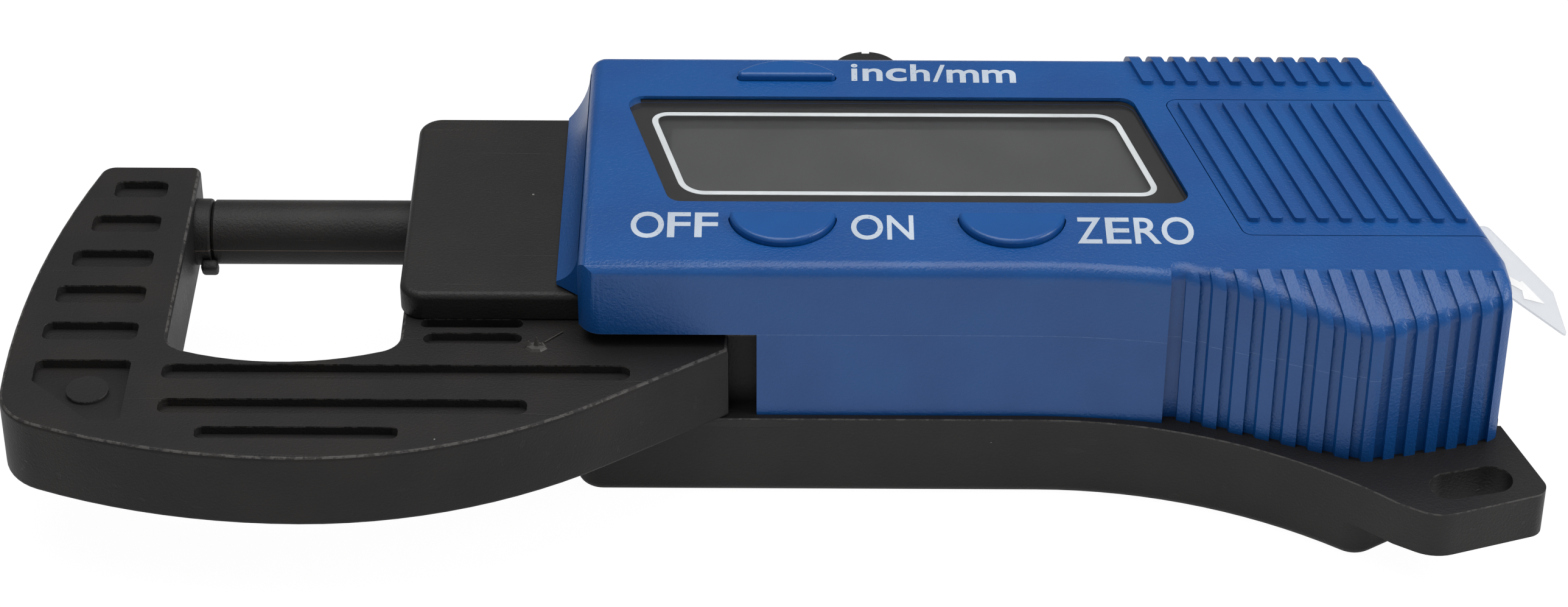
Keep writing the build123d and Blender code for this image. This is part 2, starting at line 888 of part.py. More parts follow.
# Keys: two on the near side of the display, one on the far side
for name, x, flat_y, depth, width in keys:
    with BuildPart() as button:
        with BuildSketch(Plane.XY.offset(flange_top)):
            with Locations((x, 0)):
                add(button_outline(width, flat_y, depth, 0))
        extrude(amount=overall_height + button_rise - flange_top)
        fillet(button.faces().sort_by(Axis.Z)[-1].edges(), button_edge)
        with BuildSketch(Plane.XY.offset(button_bottom)):
            with Locations((x, 0)):
                add(button_outline(width, flat_y, depth, button_flange))
            with Locations((x, far_flange_y + abs(depth))):
                Rectangle(3 * width, 2 * abs(depth), mode=Mode.SUBTRACT)
        extrude(amount=flange_top - button_bottom)
    hand_over(button.part, f"{name}_button")

# Window and display stack
with BuildPart() as window_lens:
    with BuildSketch(Plane.XY.offset(lens_bottom)):
        add(
            leaning_panel(
                window_left + seat_gap,
                window_right - seat_gap,
                window_near_y + seat_gap,
                window_far_y - seat_gap,
                window_corner - seat_gap,
            )
        )
    extrude(amount=lens_thickness)
hand_over(window_lens.part, "window_lens")

with BuildPart() as lcd_panel:
    add(box_between(lcd_left, lcd_right, lcd_near_y, lcd_far_y, lcd_bottom, lcd_bottom + lcd_thickness))
hand_over(lcd_panel.part, "lcd_panel")

with BuildPart() as lcd_holder:
    rim = holder_rim + seat_gap
    add(box_between(lcd_left - rim, lcd_right + rim, lcd_near_y - rim, lcd_far_y + rim, board_top, roof))
    add(
        box_between(
            lcd_left - seat_gap,
            lcd_right + seat_gap,
            lcd_near_y - seat_gap,
            lcd_far_y + seat_gap,
            lcd_bottom,
            roof,
        ),
        mode=Mode.SUBTRACT,
    )
    add(
        box_between(
            lcd_left + holder_shelf,
            lcd_right - holder_shelf,
            lcd_near_y - seat_gap,
            lcd_far_y + seat_gap,
            board_top,
            lcd_bottom,
        ),
        mode=Mode.SUBTRACT,
    )
hand_over(lcd_holder.part, "lcd_holder")

for name, strip_y in (("near", lcd_near_y + zebra_width / 2), ("far", lcd_far_y - zebra_width / 2)):
    with BuildPart() as zebra_strip:
        add(
            box_between(
                lcd_left + holder_shelf + slide_gap,
                lcd_right - holder_shelf - slide_gap,
                strip_y - zebra_width / 2,
                strip_y + zebra_width / 2,
                board_top,
                lcd_bottom,
            )
        )
    hand_over(zebra_strip.part, f"zebra_strip_{name}")

with BuildPart() as circuit_board:
    add(
        box_between(
            board_left,
            board_right,
            cover_near_y + cover_wall + board_inset,
            cover_far_y - cover_wall - board_inset,
            board_bottom,
            board_top,
        )
    )
    add(
        pillars(cover_screw_places, boss_diameter + 2 * boss_clearance, board_bottom, board_top),
        mode=Mode.SUBTRACT,
    )
    add(
        pillars(board_screw_places, screw_diameter + 2 * bore_gap, board_bottom, board_top),
        mode=Mode.SUBTRACT,
    )
hand_over(circuit_board.part, "circuit_board")

chip_x = (lcd_left + lcd_right) / 2
chip_y = (lcd_near_y + lcd_far_y) / 2
with BuildPart() as display_chip:
    with BuildSketch(Plane.XY.offset(board_top)):
        with Locations((chip_x, chip_y)):
            RectangleRounded(chip_length, chip_width, chip_height)
    extrude(amount=chip_height)
hand_over(display_chip.part, "display_chip")

for name, x, flat_y, depth, width in keys:
    pad_y = flat_y + depth / 2 if depth < 0 else flat_y + seat_gap
    with BuildPart() as key_pad:
        add(pillars([(x, pad_y)], pad_diameter, board_top, pad_top))
        fillet(key_pad.faces().sort_by(Axis.Z)[-1].edges(), pad_height / 2)
    hand_over(key_pad.part, f"{name}_pad")

# Battery and its contacts
with BuildPart() as button_cell:
    with BuildSketch(Plane.XZ.offset(-cell_y)):
        with BuildLine():
            Polyline(
                (cell_x, cell_bottom),
                (cell_x + cell_diameter / 2 - cell_step, cell_bottom),
                (cell_x + cell_diameter / 2 - cell_step, cell_bottom + cell_step),
                (cell_x + cell_diameter / 2, cell_bottom + 2 * cell_step),
                (cell_x + cell_diameter / 2, cell_top),
                (cell_x, cell_top),
                close=True,
            )
        make_face()
    revolve(axis=Axis((cell_x, cell_y, 0), (0, 0, 1)))
hand_over(button_cell.part, "button_cell")

with BuildPart() as contact_positive:
    with BuildSketch(Plane.XY.offset(leaf_bottom)):
        with Locations(((positive_foot_x + cell_x + leaf_reach) / 2, cell_y)):
            RectangleRounded(cell_x + leaf_reach - positive_foot_x, leaf_width, leaf_width / 4)
    extrude(amount=leaf_thickness)
    add(
        box_between(
            positive_foot_x + positive_tail,
            positive_foot_x + positive_foot,
            cell_y - leaf_width / 2,
            cell_y + leaf_width / 2,
            board_top,
            leaf_bottom,
        )
    )
hand_over(contact_positive.part, "contact_positive")

with BuildPart() as contact_negative:
    near = cell_y - leaf_width / 2
    far = cell_y + leaf_width / 2
    add(box_between(leaf_leg_x, cell_x + leaf_reach, near, far, well_floor, well_floor + leaf_thickness))
    add(box_between(leaf_leg_x, leaf_leg_x + leaf_thickness, near, far, well_floor, board_bottom))
    add(
        box_between(leaf_leg_x - leaf_foot, leaf_leg_x + leaf_thickness, near, far,
                    board_bottom - leaf_thickness, board_bottom)
    )
hand_over(contact_negative.part, "contact_negative")

# Pull tab: insulating film over the cell, out through the slit and bent down
droop = math.radians(film_droop)
bend_end_x = film_bend_x + film_bend_radius * math.sin(droop)
bend_end_z = film_bottom - film_bend_radius * (1 - math.cos(droop))
tip_x = bend_end_x + film_length * math.cos(droop)
tip_z = bend_end_z - film_length * math.sin(droop)
half_turn = droop / 2
with BuildPart() as pull_tab:
    with BuildLine() as film_path:
        Line((film_inner_x, 0, film_bottom), (film_bend_x, 0, film_bottom))
        ThreePointArc(
            (film_bend_x, 0, film_bottom),
            (
                film_bend_x + film_bend_radius * math.sin(half_turn),
                0,
                film_bottom - film_bend_radius * (1 - math.cos(half_turn)),
            ),
            (bend_end_x, 0, bend_end_z),
        )
        Line((bend_end_x, 0, bend_end_z), (tip_x, 0, tip_z))
    with BuildSketch(Plane.YZ.offset(film_inner_x)):
        with Locations((film_far_y - film_width / 2, film_bottom + film_thickness / 2)):
            Rectangle(film_width, film_thickness)
    sweep(path=film_path.wires()[0])
    with BuildSketch() as tip_plan:
        with BuildLine():
            Polyline(
                (film_inner_x, film_near_y),
                (film_bend_x, film_near_y),
                (tip_x, film_tip_near_y),
                (tip_x - film_tip_lead, film_tip_far_y),
                (film_bend_x, film_far_y),
                (film_inner_x, film_far_y),
                close=True,
            )
        make_face()
        fillet(tip_plan.vertices().group_by(Axis.X)[-1], film_tip_round)
    extrude(amount=overall_height, mode=Mode.INTERSECT)
    add(
        box_between(
            film_inner_x,
            film_inner_x + film_inner_length,
            film_near_y,
            film_inner_far_y,
            film_bottom,
            film_bottom + film_thickness,
        )
    )
hand_over(pull_tab.part, "pull_tab")

# Anvil: a stepped insert pressed into the left arm
with BuildPart() as anvil:
    add(rod(anvil_shank, throat_left - anvil_shank_depth + slide_gap, throat_left))
    add(rod(anvil_diameter, throat_left, anvil_face))
    fillet(anvil.faces().sort_by(Axis.X)[-1].edges(), anvil_edge)
hand_over(anvil.part, "anvil")

# Spindle: plain rod with a hole for its cross pin
pin_x = clamp_left + spindle_pin_inset
pin_hole = pin_diameter + 2 * bore_gap
with BuildPart() as spindle:
    add(rod(spindle_diameter, spindle_left, spindle_end_x))
    chamfer(spindle.edges().filter_by(GeomType.CIRCLE), spindle_edge)
    add(pillars([(pin_x, spindle_y)], pin_hole, back_height, plate_top), mode=Mode.SUBTRACT)
hand_over(spindle.part, "spindle")

# Spindle clamp: saddle under the carriage that holds the rod
clamp_screw_x = clamp_right - clamp_screw_inset
saddle_right = spindle_end_x + seat_gap
with BuildPart() as spindle_clamp:
    add(box_between(clamp_left, clamp_right, clamp_near, tongue_far_y, clamp_bottom, carriage_bottom))
    add(rod(spindle_diameter + 2 * bore_gap, clamp_left - cut_over, saddle_right), mode=Mode.SUBTRACT)
    add(
        box_between(
            clamp_left - cut_over,
            saddle_right,
            spindle_y - spindle_radius / 2,
            spindle_y + spindle_radius / 2,
            clamp_bottom - cut_over,
            spindle_z,
        ),
        mode=Mode.SUBTRACT,
    )
    add(
        pillars([(pin_x, spindle_y), (clamp_screw_x, spindle_y)], pin_hole, spindle_z, carriage_bottom),
        mode=Mode.SUBTRACT,
    )
hand_over(spindle_clamp.part, "spindle_clamp")

# Carriage: wide slab in front of the head, narrow tongue inside it
scale_left = carriage_head_right + scale_margin
scale_right = carriage_right - scale_end
scale_far_y = scale_near_y + scale_width
neck_near_y = spindle_y
neck_fit = tab_neck_width / 2 + seat_gap
with BuildPart() as carriage:
    with BuildSketch(Plane.XY.offset(carriage_bottom)) as slab:
        with BuildLine():
            Polyline(
                (carriage_left, carriage_near_y),
                (carriage_head_right, carriage_near_y),
                (carriage_head_right, tongue_near_y),
                (carriage_right, tongue_near_y),
                (carriage_right, tongue_far_y),
                (carriage_head_right, tongue_far_y),
                (carriage_head_right, carriage_far_y),
                (carriage_left, carriage_far_y),
                close=True,
            )
        make_face()
        fillet(slab.vertices().group_by(Axis.X)[0], carriage_corner)
        fillet(slab.vertices().group_by(Axis.X)[-1], slab_edge)
    extrude(amount=carriage_thickness)
    fillet(carriage.faces().sort_by(Axis.Z)[-1].edges(), slab_edge)
    add(
        box_between(scale_left, scale_right, scale_near_y, scale_far_y,
                    carriage_top - scale_thickness, carriage_top),
        mode=Mode.SUBTRACT,
    )
    add(
        box_between(tab_x - neck_fit, tab_x + neck_fit, neck_near_y, carriage_far_y,
                    neck_bottom, carriage_top),
        mode=Mode.SUBTRACT,
    )
    add(
        pillars([(clamp_screw_x, spindle_y), (pin_x, spindle_y)], pin_hole, carriage_bottom, carriage_top),
        mode=Mode.SUBTRACT,
    )
    screw_seat = carriage_top - screw_head_height
    add(
        pillars([(clamp_screw_x, spindle_y)], screw_head_diameter + 2 * bore_gap, screw_seat, carriage_top),
        mode=Mode.SUBTRACT,
    )
hand_over(carriage.part, "carriage")

# Thumb tab: neck let into the carriage, grip outside the head
tab_near = cover_far_y + slide_gap
tab_side = tab_tip_y - tab_width / 2
tab_half = tab_width / 2
with BuildPart() as thumb_tab:
    with BuildSketch(Plane.XY.offset(tab_bottom)):
        with BuildLine():
            Polyline(
                (tab_x - tab_half, tab_side),
                (tab_x - tab_half - tab_flare, tab_near),
                (tab_x + tab_half + tab_flare, tab_near),
                (tab_x + tab_half, tab_side),
            )
            ThreePointArc((tab_x + tab_half, tab_side), (tab_x, tab_tip_y), (tab_x - tab_half, tab_side))
        make_face()
    extrude(amount=tab_top - tab_bottom)
    fillet(thumb_tab.faces().sort_by(Axis.Z)[-1].edges(), slab_edge)
    with BuildSketch(Plane.XY.offset(tab_bottom)):
        for number in range(-1, 2):
            with Locations((tab_x + number * tab_groove_pitch, tab_tip_y)):
                Rectangle(tab_groove_width, 2 * tab_groove_depth)
    extrude(amount=tab_top - tab_bottom, mode=Mode.SUBTRACT)
    add(
        box_between(tab_x - tab_neck_width / 2, tab_x + tab_neck_width / 2, neck_near_y + seat_gap,
                    tab_near, neck_bottom, carriage_top)
    )
hand_over(thumb_tab.part, "thumb_tab")

# Pin and screw that tie the rod, the clamp and the carriage together
with BuildPart() as spindle_pin:
    add(pillars([(pin_x, spindle_y)], pin_diameter, clamp_bottom + seat_gap, carriage_top - slide_gap))
hand_over(spindle_pin.part, "spindle_pin")

with BuildPart() as clamp_screw:
    screw_top = carriage_top - slide_gap
    add(pillars([(clamp_screw_x, spindle_y)], pin_diameter, spindle_z + slide_gap, screw_top))
    add(pillars([(clamp_screw_x, spindle_y)], screw_head_diameter, screw_seat, screw_top))
hand_over(clamp_screw.part, "clamp_screw")

# Scale strip under the sensor
with BuildPart() as scale_strip:
    add(
        box_between(
            scale_left + seat_gap,
            scale_right - seat_gap,
            scale_near_y + seat_gap,
            scale_far_y - seat_gap,
            carriage_top - scale_thickness,
            carriage_top,
        )
    )
hand_over(scale_strip.part, "scale_strip")

# Bowed spring that keeps the carriage free of play
spring_floor = plate_top - spring_pocket
spring_crown = carriage_bottom - seat_gap
spring_start = spring_left + slide_gap
spring_middle = spring_left + spring_length / 2
spring_stop = spring_left + spring_length - slide_gap
with BuildPart() as carriage_spring:
    with BuildSketch(Plane.XZ.offset(-spring_y - spring_width / 2)):
        with BuildLine():
            ThreePointArc(
                (spring_start, spring_floor),
                (spring_middle, spring_crown - leaf_thickness),
                (spring_stop, spring_floor),
            )
            Line((spring_stop, spring_floor), (spring_stop, spring_floor + leaf_thickness))
            ThreePointArc(
                (spring_stop, spring_floor + leaf_thickness),
                (spring_middle, spring_crown),
                (spring_start, spring_floor + leaf_thickness),
            )
            Line((spring_start, spring_floor + leaf_thickness), (spring_start, spring_floor))
        make_face()
    extrude(amount=spring_width)
hand_over(carriage_spring.part, "carriage_spring")

# Screws: four hold the back to the head through the plate, two hold the board
for number, place in enumerate(cover_screw_places, start=1):
    with BuildPart() as cover_screw:
        add(pillars([place], screw_diameter, screw_sunk, screw_tip_z))
        add(pillars([place], screw_head_diameter, screw_sunk, head_pocket))
    hand_over(cover_screw.part, f"cover_screw_{number}")

for number, place in enumerate(board_screw_places, start=1):
    with BuildPart() as board_screw:
        add(pillars([place], screw_diameter, board_bottom - board_screw_head, board_screw_tip))
        add(pillars([place], screw_head_diameter, board_bottom - board_screw_head, board_bottom))
    hand_over(board_screw.part, f"board_screw_{number}")
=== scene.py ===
"""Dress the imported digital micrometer: soft edges, moulded finishes, markings, window, fasteners and studio."""

import logging
import math
from dataclasses import dataclass, field, replace
from enum import Enum

import bmesh
import bpy
from mathutils import Matrix, Vector


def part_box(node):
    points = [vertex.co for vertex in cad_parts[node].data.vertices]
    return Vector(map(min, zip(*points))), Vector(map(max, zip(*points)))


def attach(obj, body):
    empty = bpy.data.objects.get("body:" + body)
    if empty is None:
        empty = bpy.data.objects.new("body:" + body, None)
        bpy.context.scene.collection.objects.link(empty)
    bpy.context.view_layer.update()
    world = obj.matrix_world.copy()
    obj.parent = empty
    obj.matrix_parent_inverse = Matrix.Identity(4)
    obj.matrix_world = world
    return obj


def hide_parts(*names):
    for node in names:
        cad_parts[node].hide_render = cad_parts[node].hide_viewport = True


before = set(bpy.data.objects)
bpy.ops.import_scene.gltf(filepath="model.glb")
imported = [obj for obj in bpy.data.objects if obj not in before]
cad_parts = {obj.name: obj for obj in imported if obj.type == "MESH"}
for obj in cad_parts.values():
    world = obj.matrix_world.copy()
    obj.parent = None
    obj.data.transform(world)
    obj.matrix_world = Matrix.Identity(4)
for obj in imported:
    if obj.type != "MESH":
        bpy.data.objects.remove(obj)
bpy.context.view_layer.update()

MM = 0.001
LOG = logging.getLogger("micrometer")
Colour = tuple[float, float, float, float]
Sides = tuple[float, float, float, float]


def display_colour(red: int, green: int, blue: int) -> Colour:
    """Turn a colour picked on a screen into the linear colour that a shader takes.

    Args:
        red: Red, 0 to 255.
        green: Green, 0 to 255.
        blue: Blue, 0 to 255.

    Returns:
        Linear red, green and blue, and full opacity.
    """

    def channel(value: int) -> float:
        """One channel from screen to linear."""
        share = value / 255
        return share / 12.92 if share <= 0.04045 else ((share + 0.055) / 1.055) ** 2.4

    return channel(red), channel(green), channel(blue), 1.0


def darker(colour: Colour, share: float) -> Colour:
    """Scale a colour's red, green and blue by one share."""
    return tuple(channel * share for channel in colour[:3]) + (1.0,)


class Body(Enum):
    """Rigid bodies of the micrometer that a piece can ride on."""

    FRAME = "frame"
    CARRIAGE = "carriage"
    ON_OFF = "on_off_button"
    ZERO = "zero_button"
    INCH_MM = "inch_mm_button"
    DOOR = "battery_door"
    PULL_TAB = "pull_tab"


class Sheet:
    """A node tree being laid out, with short calls for adding nodes and joining sockets."""

    def __init__(self, tree: bpy.types.NodeTree) -> None:
        """Keep the tree that the nodes go into."""
        self.tree = tree

    def add(self, kind: str, inputs: dict[str | int, object] | None = None, **settings: object) -> bpy.types.Node:
        """Add one node.

        Args:
            kind: Blender's name of the node type.
            inputs: Values or sockets for its inputs, by name or number.
            settings: Properties of the node.

        Returns:
            The new node.
        """
        node = self.tree.nodes.new(kind)
        for name, value in settings.items():
            setattr(node, name, value)
        for name, value in (inputs or {}).items():
            if isinstance(value, bpy.types.NodeSocket):
                self.tree.links.new(value, node.inputs[name])
            else:
                node.inputs[name].default_value = value
        return node

    def group(self, name: str, **inputs: float) -> bpy.types.Node:
        """Add a shared node group by its key in GROUPS, with inputs named in small letters and underscores."""
        values = {key.replace("_", " ").capitalize(): value for key, value in inputs.items()}
        return self.add("ShaderNodeGroup", values, node_tree=GROUPS[name])

    def join(self, value: bpy.types.NodeSocket, target: bpy.types.NodeSocket) -> None:
        """Link an output to an input."""
        self.tree.links.new(value, target)

    def math(self, operation: str, *values: object) -> bpy.types.NodeSocket:
        """Add a Math node with its values or sockets in order, and return the result's socket."""
        return self.add("ShaderNodeMath", dict(enumerate(values)), operation=operation).outputs[0]

    def seen_rays(self, mirrored: float) -> bpy.types.NodeSocket:
        """Mark the rays that see the white studio.

        Args:
            mirrored: How much of it glossy and transmitted rays see, next to the camera's own rays.

        Returns:
            The mask's socket.
        """
        rays = self.add("ShaderNodeLightPath").outputs
        bent = self.math("MAXIMUM", rays["Is Glossy Ray"], rays["Is Transmission Ray"])
        return self.math("MAXIMUM", rays["Is Camera Ray"], self.math("MULTIPLY", bent, mirrored))

    def ramp(self, value: bpy.types.NodeSocket, low: float, high: float) -> bpy.types.NodeSocket:
        """Rise smoothly from 0 at the low value to 1 at the high one."""
        limits = {"Value": value, "From Min": low, "From Max": high}
        return self.add("ShaderNodeMapRange", limits, interpolation_type="SMOOTHSTEP").outputs["Result"]

    def blend(self, share: object, first: object, second: object) -> bpy.types.NodeSocket:
        """Mix two colours or sockets, where a share of 1 is all of the second."""
        return self.add("ShaderNodeMix", {0: share, 6: first, 7: second}, data_type="RGBA").outputs[2]


def new_group(
    name: str, inputs: dict[str, float], outputs: list[str]
) -> tuple[bpy.types.NodeTree, Sheet, bpy.types.Node]:
    """Start a shader node group with float sockets.

    Args:
        name: The group's name.
        inputs: Input names and their usual values.
        outputs: Output names.

    Returns:
        The group, its sheet and the node that holds its inputs.
    """
    tree = bpy.data.node_groups.new(name, "ShaderNodeTree")
    for socket, usual in inputs.items():
        tree.interface.new_socket(socket, in_out="INPUT", socket_type="NodeSocketFloat").default_value = usual
    for socket in outputs:
        tree.interface.new_socket(socket, in_out="OUTPUT", socket_type="NodeSocketFloat")
    sheet = Sheet(tree)
    return tree, sheet, sheet.add("NodeGroupInput")


def mould_grain_group() -> bpy.types.NodeTree:
    """Build the fine sand-like grain that a textured mould leaves.

    Returns:
        A group that puts out a height and a slow cloudy variation.
    """
    tree, sheet, given = new_group("mould_grain", {"Cells per metre": 4200.0}, ["Height", "Cloud"])
    place = sheet.add("ShaderNodeTexCoord").outputs["Object"]
    cells = given.outputs[0]
    fine = sheet.add("ShaderNodeTexNoise", {"Vector": place, "Scale": cells, "Detail": 3.0, "Roughness": 0.6})
    slow = sheet.add("ShaderNodeTexNoise", {"Vector": place, "Scale": 160.0, "Detail": 2.0})
    sheet.add("NodeGroupOutput", {"Height": fine.outputs[0], "Cloud": slow.outputs[0]})
    return tree


def handling_group() -> bpy.types.NodeTree:
    """Build the specks and hair scratches of a part that has been handled.

    Returns:
        A group that puts out a speck mask and a scratch mask.
    """
    sockets = {"Speck share": 0.03, "Scratch share": 0.1}
    tree, sheet, given = new_group("handling", sockets, ["Specks", "Scratches"])
    place = sheet.add("ShaderNodeTexCoord").outputs["Object"]
    cells = sheet.add("ShaderNodeTexVoronoi", {"Vector": place, "Scale": 520.0})
    seed = sheet.add("ShaderNodeSeparateColor", {0: cells.outputs["Color"]})
    chosen = sheet.math("LESS_THAN", seed.outputs[0], given.outputs["Speck share"])
    size = sheet.math("MULTIPLY", seed.outputs[1], 0.10)
    dot = sheet.math("LESS_THAN", cells.outputs["Distance"], size)
    specks = sheet.math("MULTIPLY", chosen, dot)
    turned = sheet.add(
        "ShaderNodeMapping", {"Vector": place, "Rotation": (0.2, 0.1, 0.7), "Scale": (60.0, 2600.0, 900.0)}
    )
    streaks = sheet.add("ShaderNodeTexNoise", {"Vector": turned.outputs[0], "Scale": 1.0, "Detail": 1.0})
    line = sheet.ramp(streaks.outputs[0], 0.70, 0.74)
    scratches = sheet.math("MULTIPLY", line, given.outputs["Scratch share"])
    sheet.add("NodeGroupOutput", {"Specks": specks, "Scratches": scratches})
    return tree


def seam_and_highlight_group() -> bpy.types.NodeTree:
    """Build a line at one level, broken in patches: the hairline that a mould leaves, and on rounded rims a painted
    highlight.

    Returns:
        A group that puts out the line's mask.
    """
    sockets = {"Level": 0.01, "Half width": 0.00003, "Steepest": 0.3, "Wear": 0.0}
    tree, sheet, given = new_group("seam_and_highlight_line", sockets, ["Line"])
    place = sheet.add("ShaderNodeTexCoord").outputs["Object"]
    height = sheet.add("ShaderNodeSeparateXYZ", {0: place}).outputs["Z"]
    away = sheet.math("ABSOLUTE", sheet.math("SUBTRACT", height, given.outputs["Level"]))
    line = sheet.math("LESS_THAN", away, given.outputs["Half width"])
    facing = sheet.add("ShaderNodeNewGeometry").outputs["True Normal"]
    tilt = sheet.math("ABSOLUTE", sheet.add("ShaderNodeSeparateXYZ", {0: facing}).outputs["Z"])
    wall = sheet.math("LESS_THAN", tilt, given.outputs["Steepest"])
    patches = sheet.add("ShaderNodeTexNoise", {"Vector": place, "Scale": 1500.0, "Detail": 3.0, "Roughness": 0.7})
    gap_patches = sheet.math("SUBTRACT", 1.0, sheet.ramp(patches.outputs[0], 0.42, 0.56))
    kept = sheet.math("SUBTRACT", 1.0, sheet.math("MULTIPLY", gap_patches, given.outputs["Wear"]))
    sheet.add("NodeGroupOutput", {"Line": sheet.math("MULTIPLY", sheet.math("MULTIPLY", line, wall), kept)})
    return tree


GROUPS = {"grain": mould_grain_group(), "handling": handling_group(), "level_line": seam_and_highlight_group()}


def new_material(name: str) -> tuple[bpy.types.Material, Sheet, bpy.types.Node]:
    """Start a material with one Principled shader.

    Args:
        name: The material's name.

    Returns:
        The material, its sheet and its shader.
    """
    material = bpy.data.materials.new(name)
    material.use_nodes = True
    return material, Sheet(material.node_tree), material.node_tree.nodes["Principled BSDF"]


@dataclass(frozen=True)
class MouldedPlastic:
    """Moulded plastic with grain, cloudiness, specks, scratches and a line at one level: a mould seam on some parts,
    a painted highlight along the rounded rim on others.
    """

    name: str
    colour: Colour
    cloud_colour: Colour
    roughness: float = 0.42
    grain: float = 4200.0
    grain_depth: float = 0.012
    specks: float = 0.02
    scratches: float = 0.15
    speck_colour: Colour = (0.25, 0.25, 0.24, 1.0)
    line_level: float = -1.0
    line_colour: Colour = (0.0, 0.0, 0.0, 1.0)
    line_share: float = 0.35
    line_half: float = 0.03
    line_steepest: float = 0.3
    seam_wear: float = 0.0
    specular: float = 0.5

    def material(self) -> bpy.types.Material:
        """Build the material."""
        material, sheet, shader = new_material(self.name)
        grain = sheet.group("grain", cells_per_metre=self.grain)
        marks = sheet.group("handling", speck_share=self.specks, scratch_share=self.scratches)
        level_line = sheet.group(
            "level_line",
            level=self.line_level,
            half_width=self.line_half * MM,
            steepest=self.line_steepest,
            wear=self.seam_wear,
        )
        cloud = sheet.ramp(grain.outputs["Cloud"], 0.3, 0.7)
        colour = sheet.blend(cloud, self.colour, self.cloud_colour)
        colour = sheet.blend(marks.outputs["Specks"], colour, self.speck_colour)
        # The level line paints a mould seam, and on the black rims a painted highlight.
        shown = sheet.math("MULTIPLY", level_line.outputs["Line"], self.line_share)
        sheet.join(sheet.blend(shown, colour, self.line_colour), shader.inputs["Base Color"])
        rough = sheet.math("MULTIPLY_ADD", grain.outputs["Cloud"], 0.12, self.roughness - 0.06)
        rough = sheet.math("SUBTRACT", rough, sheet.math("MULTIPLY", marks.outputs["Scratches"], 0.4))
        sheet.join(rough, shader.inputs["Roughness"])
        shader.inputs["Specular IOR Level"].default_value = self.specular
        height = sheet.math("SUBTRACT", grain.outputs["Height"], marks.outputs["Scratches"])
        bump = sheet.add("ShaderNodeBump", {"Height": height, "Distance": self.grain_depth * MM})
        sheet.join(bump.outputs[0], shader.inputs["Normal"])
        return material


@dataclass(frozen=True)
class PlainFinish:
    """Metal, rubber, foil or print: one colour with a faint grain."""

    name: str
    colour: Colour
    roughness: float = 0.4
    metallic: float = 0.0
    grain: float = 3000.0
    grain_depth: float = 0.002
    worn_to: Colour | None = None
    worn_share: float = 0.0
    specular: float = 0.5

    def material(self) -> bpy.types.Material:
        """Build the material."""
        material, sheet, shader = new_material(self.name)
        grain = sheet.group("grain", cells_per_metre=self.grain)
        cloud = sheet.ramp(grain.outputs["Cloud"], 0.3, 0.7)
        colour = sheet.blend(cloud, self.colour, darker(self.colour, 0.82))
        if self.worn_to:
            patchy = sheet.ramp(grain.outputs["Height"], 0.72 - self.worn_share, 0.76 - self.worn_share)
            colour = sheet.blend(patchy, colour, self.worn_to)
        sheet.join(colour, shader.inputs["Base Color"])
        rough = sheet.math("MULTIPLY_ADD", grain.outputs["Cloud"], 0.1, self.roughness - 0.05)
        sheet.join(rough, shader.inputs["Roughness"])
        shader.inputs["Metallic"].default_value = self.metallic
        shader.inputs["Specular IOR Level"].default_value = self.specular
        distance = self.grain_depth * MM
        bump = sheet.add("ShaderNodeBump", {"Height": grain.outputs["Height"], "Distance": distance})
        sheet.join(bump.outputs[0], shader.inputs["Normal"])
        return material


@dataclass(frozen=True)
class ClearPlastic:
    """Clear window moulding, which lets the light of the studio through to the display."""

    name: str
    colour: Colour
    roughness: float = 0.04
    grain: float = 900.0
    refraction: float = 1.49
    shadow_tint: Colour = (0.9, 0.9, 0.9, 1.0)

    def material(self) -> bpy.types.Material:
        """Build the material."""
        material, sheet, shader = new_material(self.name)
        shader.inputs["Base Color"].default_value = self.colour
        shader.inputs["Transmission Weight"].default_value = 1.0
        shader.inputs["IOR"].default_value = self.refraction
        grain = sheet.group("grain", cells_per_metre=self.grain)
        rough = sheet.math("MULTIPLY_ADD", grain.outputs["Cloud"], 0.03, self.roughness)
        sheet.join(rough, shader.inputs["Roughness"])
        see_through = sheet.add("ShaderNodeBsdfTransparent", {"Color": self.shadow_tint})
        rays = sheet.add("ShaderNodeLightPath")
        mixed = sheet.add(
            "ShaderNodeMixShader", {0: rays.outputs["Is Shadow Ray"], 1: shader.outputs[0], 2: see_through.outputs[0]}
        )
        sheet.join(mixed.outputs[0], sheet.tree.nodes["Material Output"].inputs["Surface"])
        return material


@dataclass(frozen=True)
class ThinFilm:
    """Translucent plastic film."""

    name: str
    colour: Colour
    opacity: float
    grain: float = 700.0
    roughness: float = 0.32

    def material(self) -> bpy.types.Material:
        """Build the material."""
        material, sheet, shader = new_material(self.name)
        grain = sheet.group("grain", cells_per_metre=self.grain)
        colour = sheet.blend(grain.outputs["Cloud"], self.colour, darker(self.colour, 0.92))
        sheet.join(colour, shader.inputs["Base Color"])
        shader.inputs["Roughness"].default_value = self.roughness
        shader.inputs["Alpha"].default_value = self.opacity
        return material


Finish = MouldedPlastic | PlainFinish | ClearPlastic | ThinFilm

SHELL_BLUE = MouldedPlastic(
    "shell_blue",
    display_colour(10, 80, 148),
    display_colour(8, 74, 141),
    roughness=0.32,
    grain=4600.0,
    grain_depth=0.045,
    specks=0.012,
    scratches=0.05,
    line_level=14.47 * MM,
    line_colour=display_colour(120, 150, 196),
    line_share=0.3,
    seam_wear=0.6,
)
KEY_BLUE = MouldedPlastic(
    "key_blue",
    display_colour(11, 82, 151),
    display_colour(9, 77, 145),
    roughness=0.30,
    grain_depth=0.018,
    scratches=0.05,
)
FRAME_BLACK = MouldedPlastic(
    "frame_black",
    display_colour(37, 35, 34),
    display_colour(32, 31, 31),
    roughness=0.46,
    grain=5200.0,
    grain_depth=0.045,
    specks=0.06,
    scratches=0.3,
    specular=0.3,
)
# Painted highlight: a pale line along the rounded top rim of the plate and of the rear cover, broken in patches,
# stands in for light catching those edges.
RIM_HIGHLIGHT = {"line_colour": display_colour(104, 102, 100), "line_share": 0.5, "line_steepest": 0.97, "seam_wear": 0.85}
